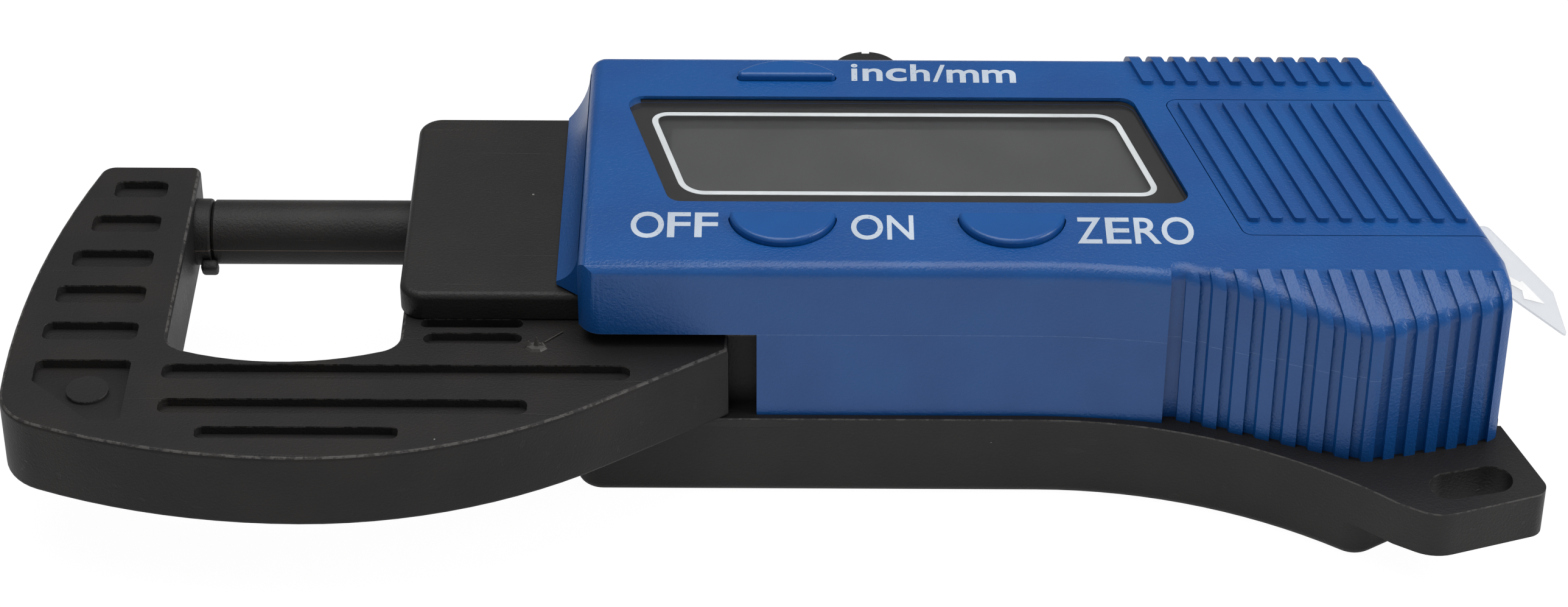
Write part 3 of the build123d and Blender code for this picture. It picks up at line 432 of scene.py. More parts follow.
PLATE_BLACK = replace(
    FRAME_BLACK,
    name="plate_black",
    colour=display_colour(42, 40, 39),
    cloud_colour=display_colour(37, 36, 37),
    specular=0.18,
    line_level=13.18 * MM,
    line_half=0.07,
    **RIM_HIGHLIGHT,
)
REAR_BLACK = replace(FRAME_BLACK, name="rear_black", line_level=7.0 * MM, line_half=0.08, **RIM_HIGHLIGHT)
ROD_BLACK = MouldedPlastic(
    "rod_black",
    display_colour(36, 34, 33),
    display_colour(30, 29, 29),
    roughness=0.5,
    grain=5200.0,
    grain_depth=0.045,
    line_level=10.155 * MM,
    line_colour=display_colour(118, 106, 96),
    line_share=0.8,
    specks=0.05,
    scratches=0.4,
    specular=0.3,
)
FLASH_GREY = PlainFinish("flash_grey", display_colour(70, 68, 66), grain_depth=0.02)
WINDOW_CLEAR = ClearPlastic("window_clear", (0.97, 0.98, 0.98, 1.0))
WINDOW_BLACK = PlainFinish("window_black", display_colour(22, 21, 21), 0.5, specular=0.05)
WHITE_PRINT = PlainFinish("white_print", display_colour(196, 199, 201), 0.5)
KEY_PRINT = PlainFinish(
    "key_print",
    display_colour(203, 214, 228),
    0.55,
    grain=5200.0,
    worn_to=display_colour(84, 122, 176),
    worn_share=0.06,
)
LCD_GLASS = PlainFinish("lcd_glass", display_colour(47, 47, 48), 0.4, specular=0.1)
LCD_ACTIVE = PlainFinish("lcd_active", display_colour(60, 60, 60), 0.45, grain=1200.0, specular=0.1)
HOLDER_WHITE = PlainFinish("holder_white", display_colour(226, 226, 222), 0.5)
STRIPED_RUBBER = PlainFinish("striped_rubber", display_colour(70, 70, 74), 0.7)
PAD_RUBBER = PlainFinish("pad_rubber", display_colour(84, 84, 90), 0.7)
BOARD_GREEN = PlainFinish("board_green", display_colour(26, 92, 48), 0.35)
CHIP_RESIN = PlainFinish("chip_resin", display_colour(22, 22, 23), 0.3)
CELL_STEEL = PlainFinish("cell_steel", display_colour(214, 214, 212), 0.22, metallic=1.0)
CONTACT_PLATED = PlainFinish("contact_plated", display_colour(214, 186, 122), 0.3, metallic=1.0)
SPRING_STEEL = PlainFinish("spring_steel", display_colour(176, 176, 174), 0.3, metallic=1.0)
SCREW_STEEL = PlainFinish("screw_steel", display_colour(186, 186, 182), 0.32, metallic=1.0)
SCALE_COPPER = PlainFinish("scale_copper", display_colour(200, 138, 84), 0.35, metallic=1.0)
PULL_FILM = ThinFilm("pull_film", display_colour(222, 226, 233), 0.55)
ARROW_WHITE = PlainFinish("arrow_white", display_colour(255, 255, 255), 0.6)


def finish_piece(
    name: str,
    shape: bmesh.types.BMesh,
    material: bpy.types.Material,
    body: Body,
    smooth_angle: float = 32.0,
) -> bpy.types.Object:
    """Turn a finished bmesh into a piece that rides on its body.

    Args:
        name: The piece's name.
        shape: Its shape, in place, in metres. It is freed here.
        material: Its finish.
        body: The body that carries it.
        smooth_angle: Edges that turn more than this many degrees stay sharp.

    Returns:
        The new object.
    """
    data = bpy.data.meshes.new(name)
    shape.to_mesh(data)
    shape.free()
    data.materials.append(material)
    data.shade_smooth()
    data.set_sharp_from_angle(angle=math.radians(smooth_angle))
    piece = bpy.data.objects.new(name, data)
    bpy.context.scene.collection.objects.link(piece)
    weights = piece.modifiers.new("even_shading", "WEIGHTED_NORMAL")
    weights.keep_sharp = True
    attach(piece, body.value)
    LOG.info("%s: %d faces, on %s", name, len(data.polygons), body.value)
    return piece


def made_verts(result: dict[str, list]) -> list[bmesh.types.BMVert]:
    """List the vertices that an operator made."""
    return [item for item in result["geom"] if isinstance(item, bmesh.types.BMVert)]


def open_edges(items: list) -> list[bmesh.types.BMEdge]:
    """List the edges among an operator's results that have an open side."""
    return [item for item in items if isinstance(item, bmesh.types.BMEdge) and item.is_boundary]


def soften(shape: bmesh.types.BMesh, edges: list[bmesh.types.BMEdge], width: float, segments: int) -> None:
    """Round some edges.

    Args:
        shape: The bmesh that has them.
        edges: The edges.
        width: How far the round reaches on each side, in millimetres.
        segments: How many flats it has.
    """
    bmesh.ops.bevel(
        shape,
        geom=edges,
        offset=width * MM,
        offset_type="OFFSET",
        segments=segments,
        profile=0.5,
        affect="EDGES",
        clamp_overlap=True,
        material=-1,
    )


@dataclass
class SoftEdged:
    """A solid of the frame model with its sharp edges broken as a mould or a tool breaks them.

    A rounded corner is the upright one at the near left, given by the X and Y of its edge and its radius. It is
    cut by flats whose facings turn by equal steps.
    """

    node: str
    body: Body
    finish: bpy.types.Material
    slot: str
    width: float = 0.12
    segments: int = 2
    sharp_from: float = 40.0
    rounded: tuple[float, float, float] | None = None
    flats: int = 6
    first_facing: float = 33.0
    facing_step: float = 10.0
    merged_within: float = 0.002
    flat_within: float = 0.6

    def adjust(self, shape: bmesh.types.BMesh) -> None:
        """Change the copy's shape before its edges are softened."""
        if self.rounded:
            self.round_corner(shape, *self.rounded)

    def round_corner(self, shape: bmesh.types.BMesh, left: float, near: float, radius: float) -> None:
        """Cut an upright corner round, one flat after another.

        Args:
            shape: The copy of the solid.
            left: X of the sharp edge, in millimetres.
            near: Y of the sharp edge.
            radius: Radius of the round.
        """
        centre = Vector(((left + radius) * MM, (near + radius) * MM, 0.0))
        for step in range(self.flats):
            angle = math.radians(self.first_facing + self.facing_step * step)
            facing = Vector((-math.cos(angle), -math.sin(angle), 0.0))
            cut = bmesh.ops.bisect_plane(
                shape,
                geom=shape.verts[:] + shape.edges[:] + shape.faces[:],
                dist=1e-7,
                plane_co=centre + facing * radius * MM,
                plane_no=facing,
                clear_outer=True,
            )
            bmesh.ops.contextual_create(shape, geom=open_edges(cut["geom_cut"]))

    def build(self) -> None:
        """Copy the solid, merge its facets, round its sharp edges and put it in the solid's place."""
        shape = bmesh.new()
        shape.from_mesh(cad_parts[self.node].data)
        bmesh.ops.remove_doubles(shape, verts=shape.verts, dist=self.merged_within * MM)
        bmesh.ops.dissolve_limit(
            shape,
            angle_limit=math.radians(self.flat_within),
            use_dissolve_boundaries=False,
            verts=shape.verts,
            edges=shape.edges,
        )
        self.adjust(shape)
        limit = math.radians(self.sharp_from)
        sharp = [edge for edge in shape.edges if len(edge.link_faces) == 2 and edge.calc_face_angle(0.0) > limit]
        soften(shape, sharp, self.width, self.segments)
        piece = finish_piece(f"{self.node}_skin", shape, self.finish, self.body)
        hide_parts(self.node)


@dataclass
class FramePlate(SoftEdged):
    """The C-shaped plate, with wider slots and the floor of its badge pocket rising towards the near side."""

    top: float = 13.24
    pocket_level: float = 12.74
    pocket_near: float = -18.35
    pocket_far: float = -11.15
    far_depth: float = 0.8
    near_depth: float = 0.06
    slot_level: float = 12.34
    arm_right: float = -46.5
    arm_slots: tuple[float, ...] = (10.55, 5.97, 1.39, -3.19, -7.77)
    web_slots: tuple[float, ...] = (-12.65, -16.75, -19.85)
    slot_half: float = 1.0
    widening: float = 0.3
    raising: float = 0.16
    nearness: float = 0.01

    def level_with(self, vert: bmesh.types.BMVert, level: float) -> bool:
        """Say whether a vertex lies at a level given in millimetres."""
        return abs(vert.co.z - level * MM) < self.nearness * MM

    def adjust(self, shape: bmesh.types.BMesh) -> None:
        """Widen the slots away from the near side, raise their floors and tilt the floor of the badge pocket.

        Args:
            shape: The copy of the solid.
        """
        feet = [vert for vert in shape.verts if self.level_with(vert, self.slot_level)]
        upper = {}
        for vert in shape.verts:
            if self.level_with(vert, self.top):
                upper[(round(vert.co.x, 5), round(vert.co.y, 5))] = vert
        for foot in feet:
            foot.co.z += self.raising * MM
            middles = self.arm_slots if foot.co.x < self.arm_right * MM else self.web_slots
            middle = min(middles, key=lambda place: abs(foot.co.y - place * MM))
            rim = upper.get((round(foot.co.x, 5), round(foot.co.y, 5)))
            if middle * MM < foot.co.y < (middle + self.slot_half) * MM and rim:
                foot.co.y += self.widening * MM
                rim.co.y += self.widening * MM
        for vert in shape.verts:
            if self.level_with(vert, self.pocket_level) and vert.co.y < (self.pocket_far + 0.1) * MM:
                share = (vert.co.y / MM - self.pocket_near) / (self.pocket_far - self.pocket_near)
                vert.co.z = (self.top - self.near_depth - (self.far_depth - self.near_depth) * share) * MM


def leaning_face(
    shape: bmesh.types.BMesh, sides: Sides, lean: float, corner: float, level: float
) -> bmesh.types.BMFace:
    """Add a flat four-sided face with ends that lean with the ribs and rounded corners.

    Args:
        shape: The bmesh that takes it.
        sides: Left and right ends where Y is 0, then near and far sides, in millimetres.
        lean: How far the ends go left for each millimetre away.
        corner: Corner radius.
        level: Height.

    Returns:
        The rounded face.
    """
    for face in shape.faces:
        face.tag = True
    left, right, near, far = sides
    places = [(left, near), (right, near), (right, far), (left, far)]
    corners = [shape.verts.new(((x - lean * y) * MM, y * MM, level * MM)) for x, y in places]
    shape.faces.new(corners)
    bmesh.ops.bevel(shape, geom=corners, offset=corner * MM, segments=8, profile=0.5, affect="VERTICES", material=-1)
    return next(face for face in shape.faces if not face.tag)


def thicken(shape: bmesh.types.BMesh, thickness: float) -> None:
    """Give a flat sheet an upward thickness and closed sides.

    Args:
        shape: The sheet.
        thickness: Its thickness in millimetres.
    """
    for face in shape.faces:
        if face.normal.z < 0:
            face.normal_flip()
    raised = bmesh.ops.extrude_face_region(shape, geom=shape.faces[:])
    bmesh.ops.translate(shape, verts=made_verts(raised), vec=(0.0, 0.0, thickness * MM))
    bmesh.ops.recalc_face_normals(shape, faces=shape.faces)


@dataclass
class DisplayWindow:
    """Clear window, its black surround, the white line round the display and the display's active area."""

    sides: Sides = (-8.75, 30.05, -0.95, 13.05)
    lean: float = math.tan(math.radians(15.0))
    corner: float = 1.15
    floor: float = 19.4
    top: float = 20.3
    line_sides: Sides = (-7.35, 28.4, 0.75, 11.75)
    line_corner: float = 1.6
    line_width: float = 0.45
    print_thickness: float = 0.03
    active_sides: Sides = (-8.6, 27.6, 0.3, 10.2)
    active_corner: float = 0.3
    display_top: float = 18.95
    rim: float = 0.12

    def surround(self) -> None:
        """Build the black print that hides everything round the display."""
        shape = bmesh.new()
        inset = self.line_width / 2
        left, right, near, far = self.line_sides
        hole = (left + inset, right - inset, near + inset, far - inset)
        leaning_face(shape, self.sides, self.lean, self.corner, self.floor)
        leaning_face(shape, hole, self.lean, self.line_corner - inset, self.floor)
        edges = shape.edges[:]
        bmesh.ops.delete(shape, geom=shape.faces[:], context="FACES_ONLY")
        bmesh.ops.bridge_loops(shape, edges=edges)
        thicken(shape, self.print_thickness)
        finish_piece("window_surround", shape, WINDOW_BLACK.material(), Body.FRAME)

    def line(self) -> None:
        """Build the white line."""
        shape = bmesh.new()
        level = self.floor + self.print_thickness
        face = leaning_face(shape, self.line_sides, self.lean, self.line_corner, level)
        bmesh.ops.inset_region(
            shape, faces=[face], thickness=self.line_width * MM, use_even_offset=True, use_boundary=True
        )
        bmesh.ops.delete(shape, geom=[face], context="FACES_ONLY")
        thicken(shape, self.print_thickness)
        finish_piece("window_line", shape, WHITE_PRINT.material(), Body.FRAME)

    def pane(self) -> None:
        """Build the clear pane above the print, black on its sides, in the window solid's place."""
        shape = bmesh.new()
        base = self.floor + 3 * self.print_thickness
        leaning_face(shape, self.sides, self.lean, self.corner, base)
        thicken(shape, self.top - base)
        for face in shape.faces:
            face.material_index = int(abs(face.normal.z) < 0.5)
        rim = [edge for edge in shape.edges if all(vert.co.z > (self.top - 0.01) * MM for vert in edge.verts)]
        soften(shape, rim, self.rim, 2)
        pane = finish_piece("window_pane", shape, WINDOW_CLEAR.material(), Body.FRAME)
        pane.data.materials.append(WINDOW_BLACK.material())
        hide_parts("window_lens")

    def active_area(self) -> None:
        """Build the grey film over the part of the display that can show figures."""
        shape = bmesh.new()
        leaning_face(shape, self.active_sides, 0.0, self.active_corner, self.display_top)
        thicken(shape, self.print_thickness)
        finish_piece("display_film", shape, LCD_ACTIVE.material(), Body.FRAME)

    def build(self) -> None:
        """Build every piece of the window."""
        for make in (self.surround, self.line, self.pane, self.active_area):
            make()


@dataclass
class Marking:
    """One printed word on the head, set letter by letter."""

    name: str
    letters: list[tuple[str, float, float, float, float]]
    weight: float = 0.012
    level: float = 20.5
    thickness: float = 0.02

    def letter(self, sign: str, left: float, right: float, near: float, far: float) -> bmesh.types.BMesh:
        """Draw one letter in a plain face and fit it to its place.

        Args:
            sign: The letter.
            left: Its left end, in millimetres.
            right: Its right end.
            near: Its foot.
            far: Its top.

        Returns:
            The flat letter.
        """
        curve = bpy.data.curves.new(self.name, "FONT")
        curve.body = sign
        curve.offset = self.weight
        curve.resolution_u = 6
        holder = bpy.data.objects.new(self.name, curve)
        bpy.context.scene.collection.objects.link(holder)
        bpy.context.view_layer.update()
        flat = bpy.data.meshes.new_from_object(holder.evaluated_get(bpy.context.evaluated_depsgraph_get()))
        bpy.data.objects.remove(holder)
        shape = bmesh.new()
        shape.from_mesh(flat)
        bpy.data.meshes.remove(flat)
        bmesh.ops.remove_doubles(shape, verts=shape.verts, dist=1e-5)
        low = Vector((min(v.co.x for v in shape.verts), min(v.co.y for v in shape.verts), 0.0))
        high = Vector((max(v.co.x for v in shape.verts), max(v.co.y for v in shape.verts), 0.0))
        stretch = ((right - left) * MM / (high.x - low.x), (far - near) * MM / (high.y - low.y), 1.0)
        bmesh.ops.translate(shape, verts=shape.verts, vec=-low)
        bmesh.ops.scale(shape, verts=shape.verts, vec=stretch)
        bmesh.ops.translate(shape, verts=shape.verts, vec=(left * MM, near * MM, self.level * MM))
        return shape

    def build(self) -> None:
        """Print the word on the head."""
        word = bmesh.new()
        for place in self.letters:
            shape = self.letter(*place)
            flat = bpy.data.meshes.new(self.name)
            shape.to_mesh(flat)
            shape.free()
            word.from_mesh(flat)
            bpy.data.meshes.remove(flat)
        thicken(word, self.thickness)
        finish_piece(self.name, word, KEY_PRINT.material(), Body.FRAME)


WORDS = (
    Marking(
        "word_off",
        [
            ("O", -11.3, -8.85, -5.73, -2.4),
            ("F", -8.6, -6.9, -5.64, -2.46),
            ("F", -6.6, -4.88, -5.62, -2.48),
        ],
    ),
    Marking("word_on", [("O", 4.9, 7.25, -5.84, -2.67), ("N", 7.55, 9.5, -5.82, -2.73)]),
    Marking(
        "word_zero",
        [
            ("Z", 21.47, 23.3, -6.2, -2.9),
            ("E", 23.6, 25.4, -6.2, -2.9),
            ("R", 25.7, 27.6, -6.2, -2.9),
            ("O", 27.7, 30.06, -6.3, -2.8),
        ],
    ),
    Marking(
        "word_inch_mm",
        [
            ("i", 5.11, 5.62, 15.3, 17.7),
            ("n", 6.0, 7.55, 15.3, 17.05),
            ("c", 7.8, 9.4, 15.26, 17.1),
            ("h", 9.7, 11.2, 15.3, 17.67),
            ("/", 11.42, 12.4, 15.2, 17.61),
            ("m", 12.5, 15.0, 15.12, 16.95),
            ("m", 15.25, 17.85, 15.12, 16.95),
        ],
        weight=0.02,
    ),
)


@dataclass
class FilmArrow:
    """White arrow printed on the pull tab, which shows which way to draw it."""

    bend_x: float = 52.5
    radius: float = 0.74
    droop: float = 44.0
    film_level: float = 16.93
    middle_y: float = -3.35
    outline: tuple[tuple[float, float], ...] = (
        (0.1, -1.87),
        (2.45, -0.94),
        (2.45, -1.96),
        (5.27, 0.07),
        (2.73, 0.58),
        (2.39, 0.06),
        (0.1, -0.89),
    )
    lift: float = 0.01
    thickness: float = 0.02

    def build(self) -> None:
        """Lay the arrow flat, then turn it onto the slope of the film."""
        shape = bmesh.new()
        shape.faces.new([shape.verts.new((x * MM, y * MM, self.lift * MM)) for x, y in self.outline])
        thicken(shape, self.thickness)
        angle = math.radians(self.droop)
        start = Vector(
            (
                self.bend_x + self.radius * math.sin(angle),
                self.middle_y,
                self.film_level - self.radius * (1 - math.cos(angle)),
            )
        )
        onto_film = Matrix.Translation(start * MM) @ Matrix.Rotation(angle, 4, "Y")
        bmesh.ops.transform(shape, matrix=onto_film, verts=shape.verts)
        finish_piece("pull_arrow", shape, ARROW_WHITE.material(), Body.PULL_TAB)


@dataclass
class CrossHeadScrew:
    """Small countersunk screw with a cross recess, seen in its pocket in the back."""

    node: str
    segments: int = 32
    recess_length: float = 1.9
    recess_width: float = 0.5
    recess_depth: float = 0.55
    recess_taper: float = 0.7
    rim_height: float = 0.25
    head_height: float = 1.0
    shank: float = 0.85

    def cut_recess(self, shape: bmesh.types.BMesh) -> None:
        """Fill the ring round a cross and sink the cross.

        Args:
            shape: The bmesh that holds the ring of the head.
        """
        half, arm = self.recess_width * MM / 2, self.recess_length * MM / 2
        cross = [(arm, -half), (arm, half), (half, half), (half, arm), (-half, arm), (-half, half)]
        cross += [(-x, -y) for x, y in cross]
        verts = [shape.verts.new((x, y, 0.0)) for x, y in cross]
        mouth = [shape.edges.new((verts[i], verts[(i + 1) % len(verts)])) for i in range(len(verts))]
        bmesh.ops.triangle_fill(shape, use_beauty=True, use_dissolve=False, edges=shape.edges[:])
        inner = [face for face in shape.faces if all(vert in verts for vert in face.verts)]
        bmesh.ops.delete(shape, geom=inner, context="FACES_ONLY")
        sunk = bmesh.ops.extrude_edge_only(shape, edges=[edge for edge in mouth if edge.is_valid])
        bmesh.ops.translate(shape, verts=made_verts(sunk), vec=(0.0, 0.0, self.recess_depth * MM))
        bmesh.ops.scale(shape, verts=made_verts(sunk), vec=(self.recess_taper, self.recess_taper, 1.0))
        bmesh.ops.contextual_create(shape, geom=open_edges(sunk["geom"]))

    def build(self) -> None:
        """Build the head and shank from the box of the solid they stand for."""
        low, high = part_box(self.node)
        middle = (low + high) / 2
        radius = (high.x - low.x) / 2
        shape = bmesh.new()
        bmesh.ops.create_circle(shape, cap_ends=False, segments=self.segments, radius=radius)
        self.cut_recess(shape)
        rim = open_edges(shape.edges)
        to_shank = self.shank * MM / radius
        steps = ((1.0, self.rim_height * MM), (to_shank, self.head_height * MM), (1.0, high.z - low.z))
        for share, level in steps:
            grown = bmesh.ops.extrude_edge_only(shape, edges=rim)
            verts = made_verts(grown)
            base = max(vert.co.z for vert in verts)
            bmesh.ops.translate(shape, verts=verts, vec=(0.0, 0.0, level - base))
            bmesh.ops.scale(shape, verts=verts, vec=(share, share, 1.0))
            rim = open_edges(grown["geom"])
        bmesh.ops.contextual_create(shape, geom=rim)
        bmesh.ops.recalc_face_normals(shape, faces=shape.faces)
        bmesh.ops.translate(shape, verts=shape.verts, vec=(middle.x, middle.y, low.z))
        screw = finish_piece(f"{self.node}_head", shape, SCREW_STEEL.material(), Body.FRAME)
        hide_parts(self.node)


@dataclass
class AnvilBoss:
    """The fixed measuring face: a round boss on the end wall of the frame, with its mould gate left under it."""

    radius: float = 2.58
    rim: float = 0.22
    gate_width: float = 0.8
    gate_depth: float = 1.4
    gate_drop: float = 0.9
    gate_reach: float = 0.5
    gate_turned: float = -58.0
    gate_edge: float = 0.28
    gate_overlap: float = 0.04

    def build(self) -> None:
        """Build the boss from the box of the solid that it stands for."""
        low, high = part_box("anvil")
        middle = (low + high) / 2
        length = high.x - low.x
        shape = bmesh.new()
        radius = self.radius * MM
        bmesh.ops.create_cone(shape, cap_ends=True, segments=64, radius1=radius, radius2=radius, depth=length)
        ends = [edge for edge in shape.edges if all(vert.co.z > length * 0.49 for vert in edge.verts)]
        soften(shape, ends, self.rim, 3)
        bmesh.ops.rotate(shape, verts=shape.verts, cent=(0.0, 0.0, 0.0), matrix=Matrix.Rotation(math.pi / 2, 3, "Y"))
        bmesh.ops.translate(shape, verts=shape.verts, vec=middle)
        gate = bmesh.ops.create_cube(shape, size=1.0)["verts"]
        size = (self.gate_width + self.gate_reach, self.gate_depth, self.gate_drop)
        bmesh.ops.scale(shape, verts=gate, vec=[side * MM for side in size])
        place = (
            high.x + (self.gate_reach - self.gate_width) / 2 * MM,
            middle.y,
            middle.z - (self.radius + self.gate_drop / 2 - self.gate_overlap) * MM,
        )
        bmesh.ops.translate(shape, verts=gate, vec=place)
        around = Matrix.Rotation(math.radians(self.gate_turned), 3, "X")
        bmesh.ops.rotate(shape, verts=gate, cent=middle, matrix=around)
        lower = [edge for edge in shape.edges if edge.verts[0] in gate and edge.verts[1] in gate]
        soften(shape, lower, self.gate_edge, 3)
        bmesh.ops.recalc_face_normals(shape, faces=shape.faces)
        boss = finish_piece("anvil_boss", shape, ROD_BLACK.material(), Body.FRAME)
        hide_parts("anvil")


@dataclass
class MouldMark:
    """Torn stub of a mould gate on the frame's web, beside the carriage, with a thread of flash."""

    place: tuple[float, float] = (-18.2, -9.5)
    level: float = 13.24
    foot: float = 0.85
    rise: float = 0.2
    spikes: tuple[tuple[float, float], ...] = ((-0.55, 0.45), (0.05, 0.8), (0.45, 0.3))
    spike_foot: float = 0.28
    spike_tip: float = 0.05
    squash: float = 0.7
    thread: tuple[float, float, float] = (1.8, 0.09, 0.1)
    thread_turn: float = 45.0

    def lump(self, shape: bmesh.types.BMesh, centre: Vector, radii: tuple[float, float], height: float) -> None:
        """Add one faceted lump.

        Args:
            shape: The bmesh that takes it.
            centre: Middle of its foot, in millimetres.
            radii: Its radius at the foot and at the top, in millimetres.
            height: Its height, in millimetres.
        """
        foot, tip = radii
        verts = bmesh.ops.create_cone(
            shape, cap_ends=True, segments=7, radius1=foot * MM, radius2=tip * MM, depth=height * MM
        )["verts"]
        bmesh.ops.scale(shape, verts=verts, vec=(1.0, self.squash, 1.0))
        bmesh.ops.translate(shape, verts=verts, vec=(centre + Vector((0.0, 0.0, height / 2))) * MM)

    def build(self) -> None:
        """Build the stub and its flash."""
        shape = bmesh.new()
        foot = Vector((*self.place, self.level))
        self.lump(shape, foot, (self.foot, self.foot * 0.8), self.rise)
        for shift, height in self.spikes:
            self.lump(shape, foot + Vector((shift, 0.1, self.rise / 2)), (self.spike_foot, self.spike_tip), height)
        turn = Matrix.Rotation(math.radians(self.thread_turn), 4, "Z")
        middle = foot + turn @ Vector((self.foot + self.thread[0] / 2, 0.0, 0.06))
        size = Matrix.Diagonal([side * MM for side in self.thread] + [1.0])
        bmesh.ops.create_cube(shape, size=1.0, matrix=Matrix.Translation(middle * MM) @ turn @ size)
        bmesh.ops.recalc_face_normals(shape, faces=shape.faces)
        finish_piece("gate_mark", shape, FLASH_GREY.material(), Body.FRAME)


@dataclass
class Mouldings:
    """The moulded pieces that show, each with softened edges."""

    shell_slot: str = "shell_plastic"
    frame_slot: str = "frame_plastic"
    key_slot: str = "key_plastic"
    hood_corner: tuple[float, float, float] = (-15.1, -9.45, 1.8)

    def build(self) -> None:
        """Build every moulding."""
        finishes = (SHELL_BLUE, KEY_BLUE, FRAME_BLACK, PLATE_BLACK, REAR_BLACK, ROD_BLACK)
        blue, key, black, plate, rear, rod = (finish.material() for finish in finishes)
        pieces = [
            SoftEdged("head_cover", Body.FRAME, blue, self.shell_slot, width=0.13, rounded=self.hood_corner),
            SoftEdged("battery_door", Body.DOOR, blue, self.shell_slot, width=0.12),
            FramePlate("frame_plate", Body.FRAME, plate, self.frame_slot, width=0.14),
            SoftEdged("rear_cover", Body.FRAME, rear, self.frame_slot, width=0.2),
            SoftEdged("carriage", Body.CARRIAGE, black, self.frame_slot, width=0.15),
            SoftEdged("thumb_tab", Body.CARRIAGE, black, self.frame_slot, width=0.12),
            SoftEdged("spindle", Body.CARRIAGE, rod, self.frame_slot, width=0.05),
            SoftEdged("on_off_button", Body.ON_OFF, key, self.key_slot, width=0.08),
            SoftEdged("zero_button", Body.ZERO, key, self.key_slot, width=0.08),
            SoftEdged("inch_mm_button", Body.INCH_MM, key, self.key_slot, width=0.08),
        ]
        for piece in pieces:
            piece.build()


@dataclass
class InnerWorks:
    """Finishes of the solids inside the head, which keep their own shapes."""

    finishes: dict[str, Finish] = field(
        default_factory=lambda: {
            "lcd_panel": LCD_GLASS,
            "lcd_holder": HOLDER_WHITE,
            "zebra_strip_near": STRIPED_RUBBER,
            "zebra_strip_far": STRIPED_RUBBER,
            "circuit_board": BOARD_GREEN,
            "display_chip": CHIP_RESIN,
            "on_off_pad": PAD_RUBBER,
            "zero_pad": PAD_RUBBER,
            "inch_mm_pad": PAD_RUBBER,
            "button_cell": CELL_STEEL,
            "contact_positive": CONTACT_PLATED,
            "contact_negative": CONTACT_PLATED,
            "carriage_spring": SPRING_STEEL,
            "board_screw_1": SCREW_STEEL,
            "board_screw_2": SCREW_STEEL,
            "spindle_clamp": FRAME_BLACK,
            "spindle_pin": SCREW_STEEL,
            "clamp_screw": SCREW_STEEL,
            "scale_strip": SCALE_COPPER,
            "pull_tab": PULL_FILM,
        }
    )

    def dress(self) -> None:
        """Give each solid its finish."""
        made: dict[Finish, bpy.types.Material] = {}
        for node, finish in self.finishes.items():
            if finish not in made:
                made[finish] = finish.material()
            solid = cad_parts[node]
            if not solid.material_slots:
                solid.data.materials.append(made[finish])
            for slot in solid.material_slots:
                slot.material = made[finish]
            LOG.info("%s: %s", node, finish.name)


@dataclass(frozen=True)
class Lamp:
    """One soft box aimed at the head: where it stands and its width and height in metres, and its watts."""

    name: str
    place: tuple[float, float, float]
    size: tuple[float, float]
    power: float
    target: tuple[float, float, float] = (0.0, 0.0, 0.01)

    def build(self) -> None:
        """Set up the lamp."""
        data = bpy.data.lights.new(self.name, "AREA")
        data.shape = "RECTANGLE"
        data.size, data.size_y = self.size
        data.energy = self.power
        lamp = bpy.data.objects.new(self.name, data)
        bpy.context.scene.collection.objects.link(lamp)
        aim = (Vector(self.target) - Vector(self.place)).to_track_quat("-Z", "Y")
        lamp.matrix_world = Matrix.Translation(self.place) @ aim.to_matrix().to_4x4()


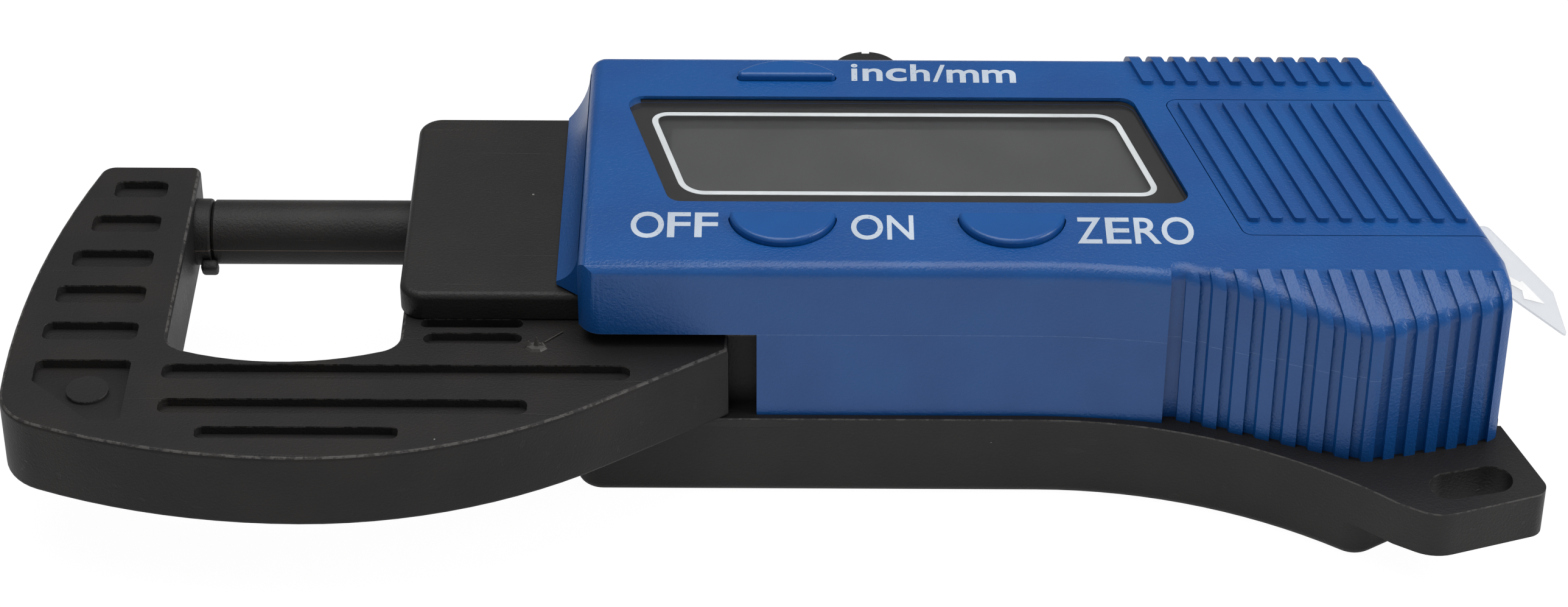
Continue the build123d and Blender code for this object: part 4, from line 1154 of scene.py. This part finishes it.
@dataclass
class Studio:
    """Pale floor, soft lamps and the camera of the photograph."""

    lens: float = 96.43
    sensor: float = 36.0
    place: tuple[float, float, float] = (0.0, -0.25629, 0.19866)
    elevation: float = 36.3
    roll: float = 0.25
    floor_colour: Colour = (0.86, 0.86, 0.86, 1.0)
    fill: float = 0.2
    mirrored_world: float = 0.06
    mirrored_floor: float = 0.4
    glow: float = 1.06
    glow_share: float = 0.92
    floor_half: float = 3.0
    floor_drop: float = 0.05
    lamps: tuple[Lamp, ...] = (
        Lamp("key", (-0.03, 0.05, 0.50), (0.50, 0.44), 2.05),
        Lamp("front", (-0.05, -0.36, 0.30), (0.3, 0.3), 0.10),
        Lamp("side", (0.45, -0.08, 0.30), (0.25, 0.25), 1.1),
    )

    def camera(self) -> None:
        """Set up the camera."""
        data = bpy.data.cameras.new("camera")
        data.lens = self.lens
        data.sensor_width = self.sensor
        data.sensor_fit = "HORIZONTAL"
        data.clip_start = 0.01
        data.clip_end = 20.0
        camera = bpy.data.objects.new("camera", data)
        bpy.context.scene.collection.objects.link(camera)
        tilt = Matrix.Rotation(math.radians(90.0 - self.elevation), 4, "X")
        turn = Matrix.Rotation(math.radians(self.roll), 4, "Z")
        camera.matrix_world = Matrix.Translation(self.place) @ tilt @ turn
        bpy.context.scene.camera = camera

    def floor(self) -> None:
        """Lay the floor, white in the picture, with the object's shadow on it, and clear from below."""
        shape = bmesh.new()
        bmesh.ops.create_grid(shape, x_segments=1, y_segments=1, size=self.floor_half)
        bmesh.ops.translate(shape, verts=shape.verts, vec=(0.0, 0.0, -self.floor_drop * MM))
        data = bpy.data.meshes.new("floor")
        shape.to_mesh(data)
        shape.free()
        material, sheet, shader = new_material("studio_floor")
        shader.inputs["Base Color"].default_value = self.floor_colour
        shader.inputs["Roughness"].default_value = 0.9
        shader.inputs["Specular IOR Level"].default_value = 0.0
        glow = sheet.add("ShaderNodeEmission", {"Color": (1.0, 1.0, 1.0, 1.0), "Strength": self.glow})
        share = sheet.math("MULTIPLY", sheet.seen_rays(self.mirrored_floor), self.glow_share)
        mixed = sheet.add("ShaderNodeMixShader", {0: share, 1: shader.outputs[0], 2: glow.outputs[0]})
        under = sheet.add("ShaderNodeNewGeometry").outputs["Backfacing"]
        clear = sheet.add("ShaderNodeBsdfTransparent")
        shown = sheet.add("ShaderNodeMixShader", {0: under, 1: mixed.outputs[0], 2: clear.outputs[0]})
        sheet.join(shown.outputs[0], sheet.tree.nodes["Material Output"].inputs["Surface"])
        data.materials.append(material)
        floor = bpy.data.objects.new("floor", data)
        bpy.context.scene.collection.objects.link(floor)

    def world(self) -> None:
        """Fill the studio with even light, white where the camera sees it."""
        world = bpy.data.worlds.new("studio")
        world.use_nodes = True
        bpy.context.scene.world = world
        sheet = Sheet(world.node_tree)
        strength = sheet.math("MULTIPLY_ADD", sheet.seen_rays(self.mirrored_world), 1.0 - self.fill, self.fill)
        background = world.node_tree.nodes["Background"]
        background.inputs["Color"].default_value = (1.0, 1.0, 1.0, 1.0)
        sheet.join(strength, background.inputs["Strength"])

    def build(self) -> None:
        """Build the whole studio."""
        self.camera()
        self.floor()
        self.world()
        for lamp in self.lamps:
            lamp.build()
        bpy.context.scene.view_settings.view_transform = "Standard"


def main() -> None:
    """Build the micrometer's looks in order."""
    logging.basicConfig(level=logging.INFO, format="%(message)s")
    Mouldings().build()
    AnvilBoss().build()
    MouldMark().build()
    InnerWorks().dress()
    DisplayWindow().build()
    for word in WORDS:
        word.build()
    FilmArrow().build()
    for number in range(1, 5):
        CrossHeadScrew(f"cover_screw_{number}").build()
    Studio().build()


if __name__ == "__main__":
    main()
